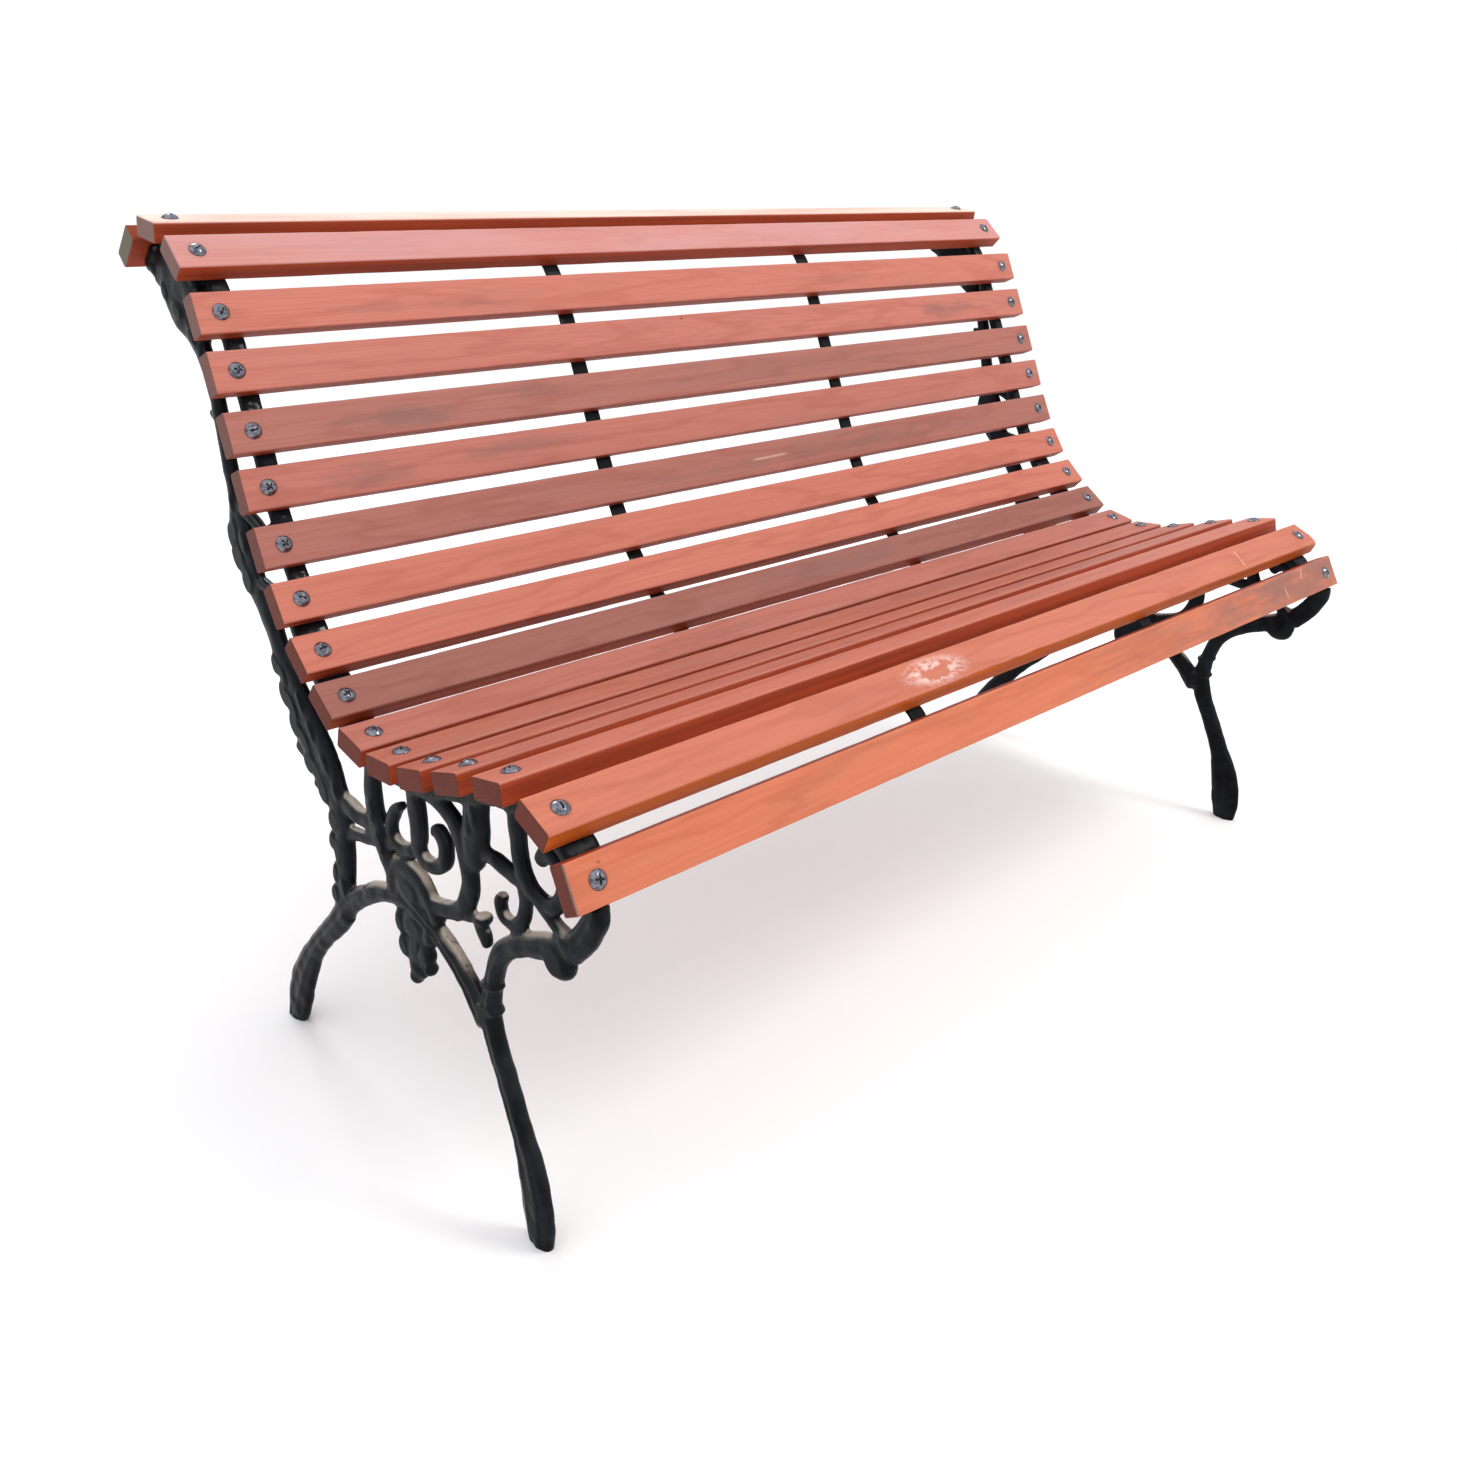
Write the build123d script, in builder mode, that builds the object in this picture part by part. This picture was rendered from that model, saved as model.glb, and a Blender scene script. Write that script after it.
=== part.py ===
from build123d import *

import os
from math import cos, radians, sin

# Slatted bench with a curled seat and back: two cast end frames, eighteen slats and two straps.

# ---- driving dimensions, millimetres -------------------------------------------------------
slat_length = 1300.0
slat_width = 41.0
slat_thick = 20.5
slat_edge_radius = 1.5
bolt_inset = 25.0  # from a slat's end to its bolt, which is the middle of the end frame

# The slats run from the rear edge of the back to the front edge of the seat.
# Each has its tilt in degrees (0 lies flat, 90 faces forwards) and the gap to the next one,
# measured between the faces that rest on the frame.
slat_seats = (
    (-45, 14), (8, 12), (43, 19), (66, 16), (67, 18), (67, 14), (68, 16), (65, 17), (57, 19),
    (43, 14), (37, 20), (13, 13), (-4, 16), (-15, 19), (-17, 21), (-11, 14), (25, 10), (63, 0),
)
first_slat = (413.0, 830.5)  # middle of the first slat's outer face, from the feet's midpoint
origin_shift = -50.4  # puts the origin under the middle of the whole bench

frame_thick = 16.0  # of the open scrollwork, left to right
flange_inner = 26.0  # how far the flange stands in from the middle of the end frame
flange_width = 20.0
flange_thick = 12.0
lug_length = 30.0
back_slats = 9  # the slats carried by the two-railed back

bolt_diameter = 8.0
bolt_hole_clearance = 0.25
bolt_head_diameter = 16.5
bolt_head_height = 4.6
slot_width = 1.6
slot_depth = 1.8
slot_length = 9.0
slotted_bolts = (2, 3, 5, 8, 13, 16)  # the other heads have a cross recess

strap_width = 20.0
strap_thick = 4.0
strap_spacing = 420.0  # between the two straps
screw_diameter = 4.0
screw_head_diameter = 7.6
screw_grip = 15.0  # how far a strap screw reaches into its slat

half_length = slat_length / 2
frame_x = half_length - bolt_inset
lug_width = flange_inner + frame_thick / 2
pocket_length = 2 * (flange_inner + frame_thick)  # clears the casting wherever a slat rests
least_cosine = 0.5  # limits how far a sharp bend pushes out the corner of an inset line


# ---- layout --------------------------------------------------------------------------------
def along(tilt):
    """Unit vector, in the (Y, Z) plane, down a slat's face towards the front of the seat."""
    return Vector(-cos(radians(tilt)), -sin(radians(tilt)))


def outwards(tilt):
    """Unit vector out of a slat's exposed face."""
    return Vector(-sin(radians(tilt)), cos(radians(tilt)))


def lay_out_slats():
    """Middle of every slat's resting face: each slat follows the one before it across its gap."""
    tilt, gap = slat_seats[0]
    middle = Vector(*first_slat) + Vector(origin_shift, 0) - outwards(tilt) * slat_thick
    middles = [middle]
    for (next_tilt, next_gap) in slat_seats[1:]:
        step = (along(tilt) + along(next_tilt)).normalized()
        edge = middle + along(tilt) * (slat_width / 2) + step * gap
        middle = edge + along(next_tilt) * (slat_width / 2)
        middles.append(middle)
        tilt, gap = next_tilt, next_gap
    return middles


slat_middles = lay_out_slats()


def seat_plane(index, x):
    """Plane on a slat's resting face: X along the slat, Z out of the bench."""
    middle = slat_middles[index]
    normal = outwards(slat_seats[index][0])
    return Plane(
        origin=(x, middle.X, middle.Y), x_dir=(1, 0, 0), z_dir=(0, normal.X, normal.Y)
    )


def resting_line(first, last):
    """Corner points of the resting faces of a run of slats, in the (Y, Z) plane."""
    points = []
    for index in range(first, last + 1):
        half = along(slat_seats[index][0]) * (slat_width / 2)
        points.append(slat_middles[index] - half)
        points.append(slat_middles[index] + half)
    return points


def inset_line(points, depth):
    """The same line, moved into the bench by a depth measured square to it."""
    moved = []
    for index, point in enumerate(points):
        before = points[max(index - 1, 0)]
        after = points[min(index + 1, len(points) - 1)]
        first = (point - before).normalized() if index > 0 else (after - point).normalized()
        second = (after - point).normalized() if point != after else first
        mean = (first + second).normalized()
        inwards = Vector(-mean.Y, mean.X)
        stretch = 1 / max(mean.dot(first), least_cosine)
        moved.append(point + inwards * (depth * stretch))
    return moved


def on_frame(y, z):
    """A point of the end frame, given from the midpoint between its feet."""
    return Vector(y + origin_shift, z)


# ---- slats ---------------------------------------------------------------------------------
def make_slat(index):
    """A slat with rounded long edges, drilled for its two bolts and its two strap screws."""
    with BuildPart() as slat:
        with BuildSketch(seat_plane(index, 0)):
            Rectangle(slat_length, slat_width)
        extrude(amount=slat_thick)
        fillet(slat.edges().filter_by(Axis.X), slat_edge_radius)
        for side in (-1, 1):
            with Locations(seat_plane(index, side * frame_x).offset(slat_thick)):
                Hole(bolt_diameter / 2 + bolt_hole_clearance, depth=slat_thick)
            with Locations(seat_plane(index, side * strap_spacing / 2).offset(screw_grip)):
                Hole(screw_diameter / 2, depth=screw_grip)
    return slat.part


# ---- end frames ----------------------------------------------------------------------------
# Every bar of the scrollwork is a line of stations: (y, z, width), y from the feet's midpoint.
# The rear leg leans, so its first station lies under the floor and the sole is cut level.
legs = {
    "front_leg": (
        (-225, 0, 20), (-225, 11, 34), (-224, 28, 40), (-221, 50, 40), (-214, 75, 35),
        (-205, 100, 28), (-194, 125, 24), (-182, 150, 23), (-169, 175, 25), (-161, 205, 24),
    ),
    "rear_leg": (
        (235, -7, 11), (230, 11, 34), (224, 28, 40), (214, 50, 40), (200, 75, 35),
        (183, 100, 28), (163, 125, 24), (138, 150, 24), (116, 171, 27), (96, 194, 28),
    ),
}
main_bars = {
    "arch": (
        (105, 185, 26), (78, 212, 22), (50, 231, 20), (25, 245, 19), (0, 254, 18), (-25, 260, 22),
    ),
    "brace": (
        (-25, 262, 24), (-50, 259, 24), (-84, 247, 21), (-108, 234, 21), (-130, 217, 24),
        (-152, 192, 26),
    ),
    "front_upright": (
        (-156, 195, 26), (-164, 222, 20), (-170, 248, 18), (-180, 270, 19), (-196, 287, 20),
        (-218, 300, 20), (-243, 310, 22), (-268, 319, 24), (-290, 333, 24), (-306, 353, 23),
        (-315, 375, 22), (-306, 398, 18),
    ),
    "rear_post": (
        (100, 190, 28), (92, 225, 27), (88, 252, 27), (86, 282, 28), (92, 312, 40), (112, 345, 60),
    ),
    "middle_post": (
        (18, 392, 18), (21, 360, 20), (20, 332, 24), (8, 305, 27), (-8, 285, 26), (-26, 270, 26),
    ),
    "rail": ((-40, 268, 22), (-64, 272, 18), (-86, 277, 16), (-108, 283, 16), (-126, 292, 18)),
    "big_arc": (
        (-112, 283, 16), (-127, 295, 18), (-137, 312, 20), (-139, 334, 20), (-132, 356, 20),
        (-118, 374, 18), (-97, 385, 16), (-74, 387, 16), (-54, 384, 16),
    ),
    "fan": ((-136, 335, 16), (-148, 358, 30), (-152, 380, 34), (-154, 412, 30)),
    "upper_link": ((96, 320, 22), (70, 318, 20), (46, 316, 18), (20, 320, 20)),
    "lower_link": ((84, 286, 18), (62, 292, 13), (44, 296, 12), (16, 303, 14)),
    "rear_rail": (
        (112, 345, 60), (140, 372, 62), (160, 402, 52), (182, 434, 30), (200, 464, 26),
        (224, 496, 30), (245, 528, 44), (254, 556, 44), (258, 586, 22), (266, 620, 18),
        (273, 655, 18), (281, 690, 18), (296, 722, 20), (319, 746, 28), (347, 763, 32),
        (362, 786, 34), (358, 812, 44),
    ),
}
scrolls = {
    "stem": (
        (-52, 396, 20), (-55, 370, 24), (-58, 345, 23), (-56, 325, 17), (-67, 315, 14),
        (-85, 317, 14), (-99, 328, 16), (-102, 343, 18), (-94, 354, 16), (-84, 353, 10),
    ),
    "crescent": (
        (-31, 357, 5), (-18, 347, 10), (-9, 332, 14), (-12, 317, 15), (-28, 312, 14), (-48, 318, 14),
    ),
    "crescent_root": ((6, 304, 16), (-6, 308, 14), (-16, 314, 12)),
    "front_scroll": (
        (-211, 420, 18), (-213, 396, 16), (-217, 375, 16), (-228, 358, 15), (-245, 351, 14),
        (-262, 355, 14), (-273, 369, 14), (-274, 386, 13), (-264, 398, 13), (-250, 396, 15),
        (-243, 386, 13),
    ),
    "scroll_tie": ((-156, 362, 16), (-180, 362, 13), (-202, 359, 14), (-222, 358, 14)),
    "strut": ((-236, 352, 12), (-250, 344, 11), (-266, 336, 12), (-282, 330, 16)),
    "small_hook": (
        (-219, 356, 14), (-221, 338, 14), (-216, 322, 13), (-204, 312, 12), (-190, 313, 11),
        (-184, 323, 11), (-189, 334, 7),
    ),
    "leaf_tip": ((-118, 288, 13), (-134, 289, 10), (-147, 294, 8), (-156, 299, 4)),
    "back_leaf_low": ((110, 322, 22), (124, 322, 16), (136, 322, 5)),
    "back_leaf_middle": ((150, 352, 30), (161, 352, 16), (168, 352, 6)),
    "back_leaf_spike": ((176, 428, 26), (192, 430, 14), (209, 426, 4)),
    "back_spur": ((272, 663, 14), (284, 666, 10), (297, 671, 4)),
}
# Back ties join the two rails behind a slat: (slat counted from the rear, y, z on the rear rail)
back_ties = ((3, 303, 728), (5, 276, 650), (7, 262, 590), (8, 236, 510))
tie_width = 11.0
tie_offset = 10.0  # above the middle of its slat, clear of the bolt
boss = (-38, 277, 60, 40)  # y, z, length, height of the rosette in the middle of the stretcher
ball = (-261, 303, 30)  # y, z, diameter of the knob under the front edge
knob = (-149, 288, 14)  # y, z, diameter, at the root of the hanging leaf
drop_leaf = (-149, 275, 14, 26)  # y, z, length, height
pendant = ((-22, 248), (-16, 222), (-22, 200), (-38, 188), (-54, 204), (-68, 222), (-76, 250))
fan_eye = (-157, 366, 13, 9)  # y, z, length, height of the hole through the fan
crest = (
    (300, 772), (332, 760), (361, 768), (382, 781), (378, 797), (388, 806), (404, 808),
    (406, 812), (383, 830), (340, 828), (290, 800),
)


def add_bar(stations):
    """Adds a tapering bar to the sketch that is open: smooth edges either side of its stations."""
    centres = [on_frame(y, z) for (y, z, width) in stations]
    left = []
    right = []
    for index, (y, z, width) in enumerate(stations):
        before = centres[max(index - 1, 0)]
        after = centres[min(index + 1, len(centres) - 1)]
        heading = (after - before).normalized()
        across = Vector(-heading.Y, heading.X) * (width / 2)
        left.append(centres[index] + across)
        right.append(centres[index] - across)
    with BuildLine() as outline:
        Spline(*left)
        Line(left[-1], right[-1])
        Spline(*right)
        Line(right[0], left[0])
    make_face(outline.edges())


def add_outline(points):
    """Adds a straight-sided closed outline to the sketch that is open."""
    with BuildLine() as outline:
        Polyline(*points, close=True)
    make_face(outline.edges())


def add_flange(first, last):
    """Adds the flange's edge view, under a run of slats, to the sketch that is open."""
    outer = resting_line(first, last)
    inner = inset_line(outer, flange_thick)
    add_outline(outer + inner[::-1])


def tie_stations(index, y, z):
    """Stations of a back tie, from inside the flange behind a slat to the rear rail."""
    tilt = slat_seats[index][0]
    root = slat_middles[index] - along(tilt) * tie_offset - outwards(tilt) * (flange_thick / 2)
    start = (root.X - origin_shift, root.Y)
    middle = ((start[0] + y) / 2, (start[1] + z) / 2)
    return ((*start, tie_width), (*middle, tie_width), (y, z, tie_width))


def make_left_frame():
    """The casting at the left end, in one piece with its flange and lugs."""
    side = -1
    last = len(slat_seats) - 1
    middle_plane = Plane.YZ.offset(side * frame_x)
    flange_plane = Plane.YZ.offset(side * (frame_x - flange_inner + flange_width / 2))
    with BuildPart() as frame:
        with BuildSketch(middle_plane):
            for stations in (*legs.values(), *main_bars.values(), *scrolls.values()):
                add_bar(stations)
            for (index, y, z) in back_ties:
                add_bar(tie_stations(index, y, z))
            add_flange(back_slats - 1, last)
            add_outline([on_frame(y, z) for (y, z) in crest])
            add_outline([on_frame(y, z) for (y, z) in pendant])
            for (y, z, length, height) in (boss, drop_leaf):
                with Locations(on_frame(y, z)):
                    Ellipse(length / 2, height / 2)
            for (y, z, diameter) in (ball, knob):
                with Locations(on_frame(y, z)):
                    Circle(diameter / 2)
            with Locations(on_frame(*fan_eye[:2])):
                Ellipse(fan_eye[2] / 2, fan_eye[3] / 2, mode=Mode.SUBTRACT)
        extrude(amount=frame_thick / 2, both=True)
        with BuildSketch(flange_plane):
            add_flange(0, last)
        extrude(amount=flange_width / 2, both=True)
        for index in range(last + 1):
            lug_x = side * (frame_x - flange_inner + lug_width / 2)
            with BuildSketch(seat_plane(index, lug_x)):
                Rectangle(lug_width, lug_length)
            extrude(amount=-flange_thick)
        for index in range(last + 1):
            with BuildSketch(seat_plane(index, side * frame_x)):
                Rectangle(pocket_length, slat_width)
            extrude(amount=slat_thick + bolt_head_height, mode=Mode.SUBTRACT)
        split(bisect_by=Plane.XY, keep=Keep.TOP)
        for index in range(last + 1):
            with Locations(seat_plane(index, side * frame_x)):
                Hole(bolt_diameter / 2, depth=flange_thick)
    return frame.part


def make_right_frame(left):
    """The other hand of the left casting."""
    with BuildPart() as frame:
        mirror(left, about=Plane.YZ)
    return frame.part


# ---- fasteners and straps ------------------------------------------------------------------
def make_bolt(slotted):
    """A domed bolt standing on its axis: the head rests on Z = 0 and the shank hangs below."""
    radius = bolt_head_diameter / 2
    sphere_radius = (radius**2 + bolt_head_height**2) / (2 * bolt_head_height)
    with BuildPart() as bolt:
        with BuildSketch(Plane.XZ):
            with BuildLine():
                Line((0, bolt_head_height), (0, 0))
                Line((0, 0), (radius, 0))
                RadiusArc((radius, 0), (0, bolt_head_height), -sphere_radius)
            make_face()
        revolve(axis=Axis.Z)
        Cylinder(
            bolt_diameter / 2, slat_thick + flange_thick, align=(Align.CENTER, Align.CENTER, Align.MAX)
        )
        with BuildSketch(Plane.XY.offset(bolt_head_height)):
            Rectangle(slot_length, slot_width)
            if not slotted:
                Rectangle(slot_width, slot_length)
        extrude(amount=-slot_depth, mode=Mode.SUBTRACT)
    return bolt.part


def make_screw():
    """A countersunk wood screw standing on its axis: its head is flush with Z = 0."""
    with BuildPart() as screw:
        Cylinder(
            screw_diameter / 2, strap_thick + screw_grip, align=(Align.CENTER, Align.CENTER, Align.MIN)
        )
        Cone(
            screw_head_diameter / 2, screw_diameter / 2, (screw_head_diameter - screw_diameter) / 2,
            align=(Align.CENTER, Align.CENTER, Align.MIN),
        )
    return screw.part


def make_bolt_set(side):
    """All the bolts of one end, as separate solids."""
    slotted_bolt = make_bolt(True)
    cross_bolt = make_bolt(False)
    with BuildPart() as bolts:
        for index in range(len(slat_seats)):
            with Locations(seat_plane(index, side * frame_x).offset(slat_thick)):
                add(slotted_bolt if index in slotted_bolts else cross_bolt)
    return bolts.part


def make_screw_set(x):
    """All the screws of one strap, as separate solids."""
    screw = make_screw()
    with BuildPart() as screws:
        for index in range(len(slat_seats)):
            with Locations(seat_plane(index, x).offset(-strap_thick)):
                add(screw)
    return screws.part


def make_strap(x, screws):
    """A flat iron strap bent along the slats' resting faces, countersunk for its screws."""
    outer = resting_line(0, len(slat_seats) - 1)
    inner = inset_line(outer, strap_thick)
    with BuildPart() as strap:
        with BuildSketch(Plane.YZ.offset(x)):
            add_outline(outer + inner[::-1])
        extrude(amount=strap_width / 2, both=True)
        add(screws, mode=Mode.SUBTRACT)
    return strap.part


def save(part, name):
    """Writes one named piece as a STEP file."""
    part.label = name
    export_step(part, f"parts/{name}.step")


os.makedirs("parts", exist_ok=True)
for index in range(len(slat_seats)):
    save(make_slat(index), f"slat_{index + 1:02d}")

left_frame = make_left_frame()
save(left_frame, "left_end_frame")
save(make_right_frame(left_frame), "right_end_frame")

for (hand, side) in (("left", -1), ("right", 1)):
    save(make_bolt_set(side), f"{hand}_frame_bolts")
    strap_x = side * strap_spacing / 2
    strap_screws = make_screw_set(strap_x)
    save(make_strap(strap_x, strap_screws), f"{hand}_strap")
    save(strap_screws, f"{hand}_strap_screws")
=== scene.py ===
from math import cos, pi, radians, sin

import bpy
import numpy as np
from bpy.props import FloatProperty, FloatVectorProperty, PointerProperty
from mathutils import Matrix, Vector


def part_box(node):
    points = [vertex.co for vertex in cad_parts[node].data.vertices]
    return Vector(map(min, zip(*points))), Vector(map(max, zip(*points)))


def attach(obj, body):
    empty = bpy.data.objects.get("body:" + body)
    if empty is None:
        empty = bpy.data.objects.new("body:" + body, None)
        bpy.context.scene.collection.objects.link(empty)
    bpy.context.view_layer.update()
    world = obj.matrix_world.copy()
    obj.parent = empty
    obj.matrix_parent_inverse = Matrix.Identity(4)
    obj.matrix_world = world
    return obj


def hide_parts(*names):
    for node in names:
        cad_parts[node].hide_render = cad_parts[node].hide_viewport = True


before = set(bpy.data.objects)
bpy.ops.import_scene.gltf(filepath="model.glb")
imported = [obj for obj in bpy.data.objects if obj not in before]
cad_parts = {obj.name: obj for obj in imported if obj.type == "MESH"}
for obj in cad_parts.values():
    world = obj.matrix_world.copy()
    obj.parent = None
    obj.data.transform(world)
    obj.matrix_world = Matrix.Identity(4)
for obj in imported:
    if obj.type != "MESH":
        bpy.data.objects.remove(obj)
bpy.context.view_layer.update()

bl_info = {
    "name": "Slatted park bench",
    "version": (1, 0, 0),
    "blender": (4, 5, 0),
    "location": "View3D > Sidebar > Bench",
    "description": "Slatted bench with a curled seat and back on two cast-iron ends",
    "category": "Add Mesh",
}

MM = 0.001
SLAT_COUNT = 18
BACK_SLATS = 9  # from the last of these on, the flange reaches across the whole casting

# Each slat's tilt in degrees (0 lies flat, 90 faces forwards) and the gap to the next one in mm,
# from the rear edge of the back to the front edge of the seat.
SLAT_SEATS = (
    (-45, 14), (8, 12), (43, 19), (66, 16), (67, 18), (67, 14), (68, 16), (65, 17), (57, 19),
    (43, 14), (37, 20), (13, 13), (-4, 16), (-15, 19), (-17, 21), (-11, 14), (25, 10), (63, 0),
)
FIRST_SLAT = (413.0, 830.5)  # middle of the first slat's outer face, from the feet's midpoint
ORIGIN_SHIFT = -50.4  # from the feet's midpoint to the middle of the whole bench

# Finish of each slat: how grey and how orange its stain is, how light it is, where the heart of
# the tree lies across and below it (mm) and how fast the rings climb along it.
SLAT_LOOKS = (
    (0.55, 0.00, 0.80, 14, 60, 0.004), (0.30, 0.10, 1.05, -20, 70, 0.003),
    (0.15, 0.05, 1.00, 30, 95, 0.002), (0.12, 0.10, 1.03, 4, 34, 0.012),
    (0.20, 0.05, 1.00, -3, 30, 0.014), (0.62, 0.00, 0.90, 25, 80, 0.002),
    (0.35, 0.05, 0.96, -14, 66, 0.005), (0.58, 0.00, 0.87, 18, 74, 0.003),
    (0.10, 0.25, 1.00, -24, 88, 0.002), (0.05, 0.22, 1.00, 10, 58, 0.004),
    (0.75, 0.00, 0.75, -8, 64, 0.003), (0.45, 0.10, 0.97, 22, 76, 0.003),
    (0.30, 0.25, 0.94, -17, 70, 0.004), (0.25, 0.25, 0.92, 12, 62, 0.004),
    (0.28, 0.20, 0.92, -26, 92, 0.002), (0.12, 0.22, 0.97, 16, 68, 0.003),
    (0.10, 0.48, 0.98, -6, 60, 0.004), (0.05, 0.75, 1.03, 9, 54, 0.005),
)
# Weathered smudges: (slat counted from 1, place along it, across it, length, width, strength)
SMUDGES = (
    (6, -470, 4, 150, 26, 0.55), (6, -300, -8, 120, 18, 0.40), (7, -520, 2, 110, 24, 0.45),
    (7, -330, -4, 160, 16, 0.35), (5, 470, 2, 160, 26, 0.50), (8, -80, 6, 240, 16, 0.30),
    (11, 60, 0, 300, 24, 0.35), (2, -600, 0, 70, 60, 0.75), (12, -200, 5, 200, 18, 0.25),
    (4, 250, 4, 180, 16, 0.22), (16, 120, -4, 220, 20, 0.20), (1, -300, 0, 600, 50, 0.40),
    (18, 560, 0, 420, 70, 0.60), (18, 380, 0, 620, 80, 0.28), (8, 250, 0, 420, 30, 0.40),
    (13, 200, 0, 500, 40, 0.30),
    (4, -420, 6, 200, 12, 0.30), (6, 100, 0, 420, 34, 0.30), (15, 300, 0, 360, 40, 0.30),
)

# Dark knots and specks: slat counted from 1, place along it, across it and size in metres
SPECKS = ((5, -0.056, -0.016, 0.0025), (14, 0.454, 0.002, 0.0050), (18, -0.620, -0.012, 0.0018))
# Bites out of the lower front edge of slat 17: place along it, reach and depth, in metres
CHIPS = (
    (-0.124, 0.010, 0.0013), (-0.098, 0.016, 0.0010), (-0.060, 0.008, 0.0009),
    (-0.018, 0.020, 0.0009), (0.644, 0.008, 0.0018),
)
# Pale scratches: slat counted from 1, then both ends as (along it, across it) in metres
SCRATCHES = (
    (8, (0.000, 0.0010), (0.064, -0.0003)), (17, (0.460, -0.012), (0.454, 0.003)),
    (17, (0.454, 0.003), (0.446, 0.016)), (18, (0.562, -0.019), (0.556, -0.004)),
    (18, (0.506, -0.004), (0.508, 0.012)),
)


# ---- sizes and colours a user would change -------------------------------------------------
def length_setting(name, description, default):
    return FloatProperty(name=name, description=description, default=default, unit="LENGTH")


def colour_setting(name, description, default):
    return FloatVectorProperty(name=name, description=description, default=default,
                               subtype="COLOR")


class SlatSizes(bpy.types.PropertyGroup):
    length: length_setting("Length", "From end to end", 1.3)
    width: length_setting("Width", "Across the face", 0.041)
    thick: length_setting("Thickness", "Face to back", 0.0205)
    edge: length_setting("Edge radius", "Rounding of the long edges", 0.0016)
    stain: colour_setting("Stain", "Main colour of the stained wood", (0.525, 0.172, 0.130))
    orange: colour_setting("Fresh stain", "Colour of less faded slats", (0.570, 0.160, 0.068))
    grey: colour_setting("Weathered stain", "Colour of faded slats", (0.310, 0.142, 0.116))
    # deep stain, darkened also as painted shade on the edges and backs
    deep: colour_setting("Deep stain", "Colour of unfaded edges and backs", (0.325, 0.047, 0.015))


class CastingSizes(bpy.types.PropertyGroup):
    inset: length_setting("Inset", "From a slat's end to the casting's middle", 0.025)
    half_thick: length_setting("Half thickness", "Half of the main bars' depth", 0.0078)
    voxel: length_setting("Blend size", "Grain of the casting's blended surface", 0.0021)
    paint: colour_setting("Paint", "Colour of the black paint", (0.0030, 0.0034, 0.0042))


class FastenerSizes(bpy.types.PropertyGroup):
    head: length_setting("Head", "Diameter of a bolt head", 0.0165)
    height: length_setting("Head height", "Height of the dome", 0.0045)
    shank: length_setting("Shank", "Diameter of a bolt", 0.008)
    steel: colour_setting("Steel", "Colour of the bolt heads", (0.22, 0.22, 0.26))


class StrapSizes(bpy.types.PropertyGroup):
    width: length_setting("Width", "Across the strap", 0.020)
    thick: length_setting("Thickness", "Of the flat iron", 0.004)
    spacing: length_setting("Spacing", "Between the two straps", 0.420)


# ---- where the slats lie -------------------------------------------------------------------
def along(tilt):
    """Unit vector (y, z) down a slat's face, towards the front of the seat."""
    return np.array((-cos(radians(tilt)), -sin(radians(tilt))))


def outwards(tilt):
    """Unit vector (y, z) out of a slat's face."""
    return np.array((-sin(radians(tilt)), cos(radians(tilt))))


def lay_out_slats(width, thick):
    """Middle of each slat's resting face, in metres: the next one lies half a width, the gap and
    half a width further on, and the gap is crossed halfway between the two tilts."""
    tilt, gap = SLAT_SEATS[0]
    middle = (np.array(FIRST_SLAT) + (ORIGIN_SHIFT, 0)) * MM - outwards(tilt) * thick
    middles = [middle]
    for next_tilt, next_gap in SLAT_SEATS[1:]:
        step = along(tilt) + along(next_tilt)
        step = step / np.linalg.norm(step)
        middle = middle + along(tilt) * width / 2 + step * gap * MM + along(next_tilt) * width / 2
        middles.append(middle)
        tilt, gap = next_tilt, next_gap
    return np.array(middles)


def resting_line(width, thick):
    """Both ends of every slat's resting face, in order, as one bent line (y, z)."""
    middles = lay_out_slats(width, thick)
    halves = np.array([along(tilt) * width / 2 for tilt, _ in SLAT_SEATS])
    return np.stack((middles - halves, middles + halves), 1).reshape(-1, 2)


# ---- meshes --------------------------------------------------------------------------------
def ripple(points, size, seed):
    """Smooth uneven field from -1 to 1: the mean of six sines of the place, each along its own
    random direction, with wavelengths around the size."""
    draw = np.random.default_rng(seed)
    ways = draw.normal(size=(6, 3))
    ways = ways / np.linalg.norm(ways, axis=1)[:, None] * (2 * pi / size)
    ways = ways * draw.uniform(0.6, 1.7, 6)[:, None]
    phases = draw.uniform(0, 2 * pi, 6)
    return np.sin(points @ ways.T + phases).sum(1) / 3.0


def tube_faces(rings, around):
    """Faces of a closed tube of rings whose two ends run into single points, which are the last
    two vertices: quads between rings, triangles at the poles."""
    i = np.arange(rings - 1)[:, None] * around
    j = np.arange(around)[None, :]
    k = (j + 1) % around
    quads = np.stack((i + j, i + k, i + around + k, i + around + j), -1).reshape(-1, 4)
    j = j[0]
    k = k[0]
    top = rings * around
    base = (rings - 1) * around
    first = np.stack((np.full(around, top), k, j), -1)
    last = np.stack((np.full(around, top + 1), base + j, base + k), -1)
    return quads.tolist() + first.tolist() + last.tolist()


def close_tube(grid):
    """Points and faces of a tube given as rings (n, m, 3), closed at the end rings' middles."""
    rings, around = grid.shape[:2]
    poles = np.stack((grid[0].mean(0), grid[-1].mean(0)))
    return np.concatenate((grid.reshape(-1, 3), poles)), tube_faces(rings, around)


def merge(parts):
    """Several (points, faces) pairs as one, the face numbers moved on to match."""
    points = []
    faces = []
    start = 0
    for some, these in parts:
        points.append(some)
        faces += [[n + start for n in face] for face in these]
        start += len(some)
    return np.concatenate(points), faces


def outward(points, faces):
    """The faces in the order that makes the closed shape's volume positive."""
    volume = 0.0
    for size in (3, 4):
        some = np.array([face for face in faces if len(face) == size]).reshape(-1, size)
        for k in range(1, size - 1):
            a, b, c = points[some[:, 0]], points[some[:, k]], points[some[:, k + 1]]
            volume += np.einsum("ij,ij->i", a, np.cross(b, c)).sum()
    return faces if volume > 0 else [face[::-1] for face in faces]


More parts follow.
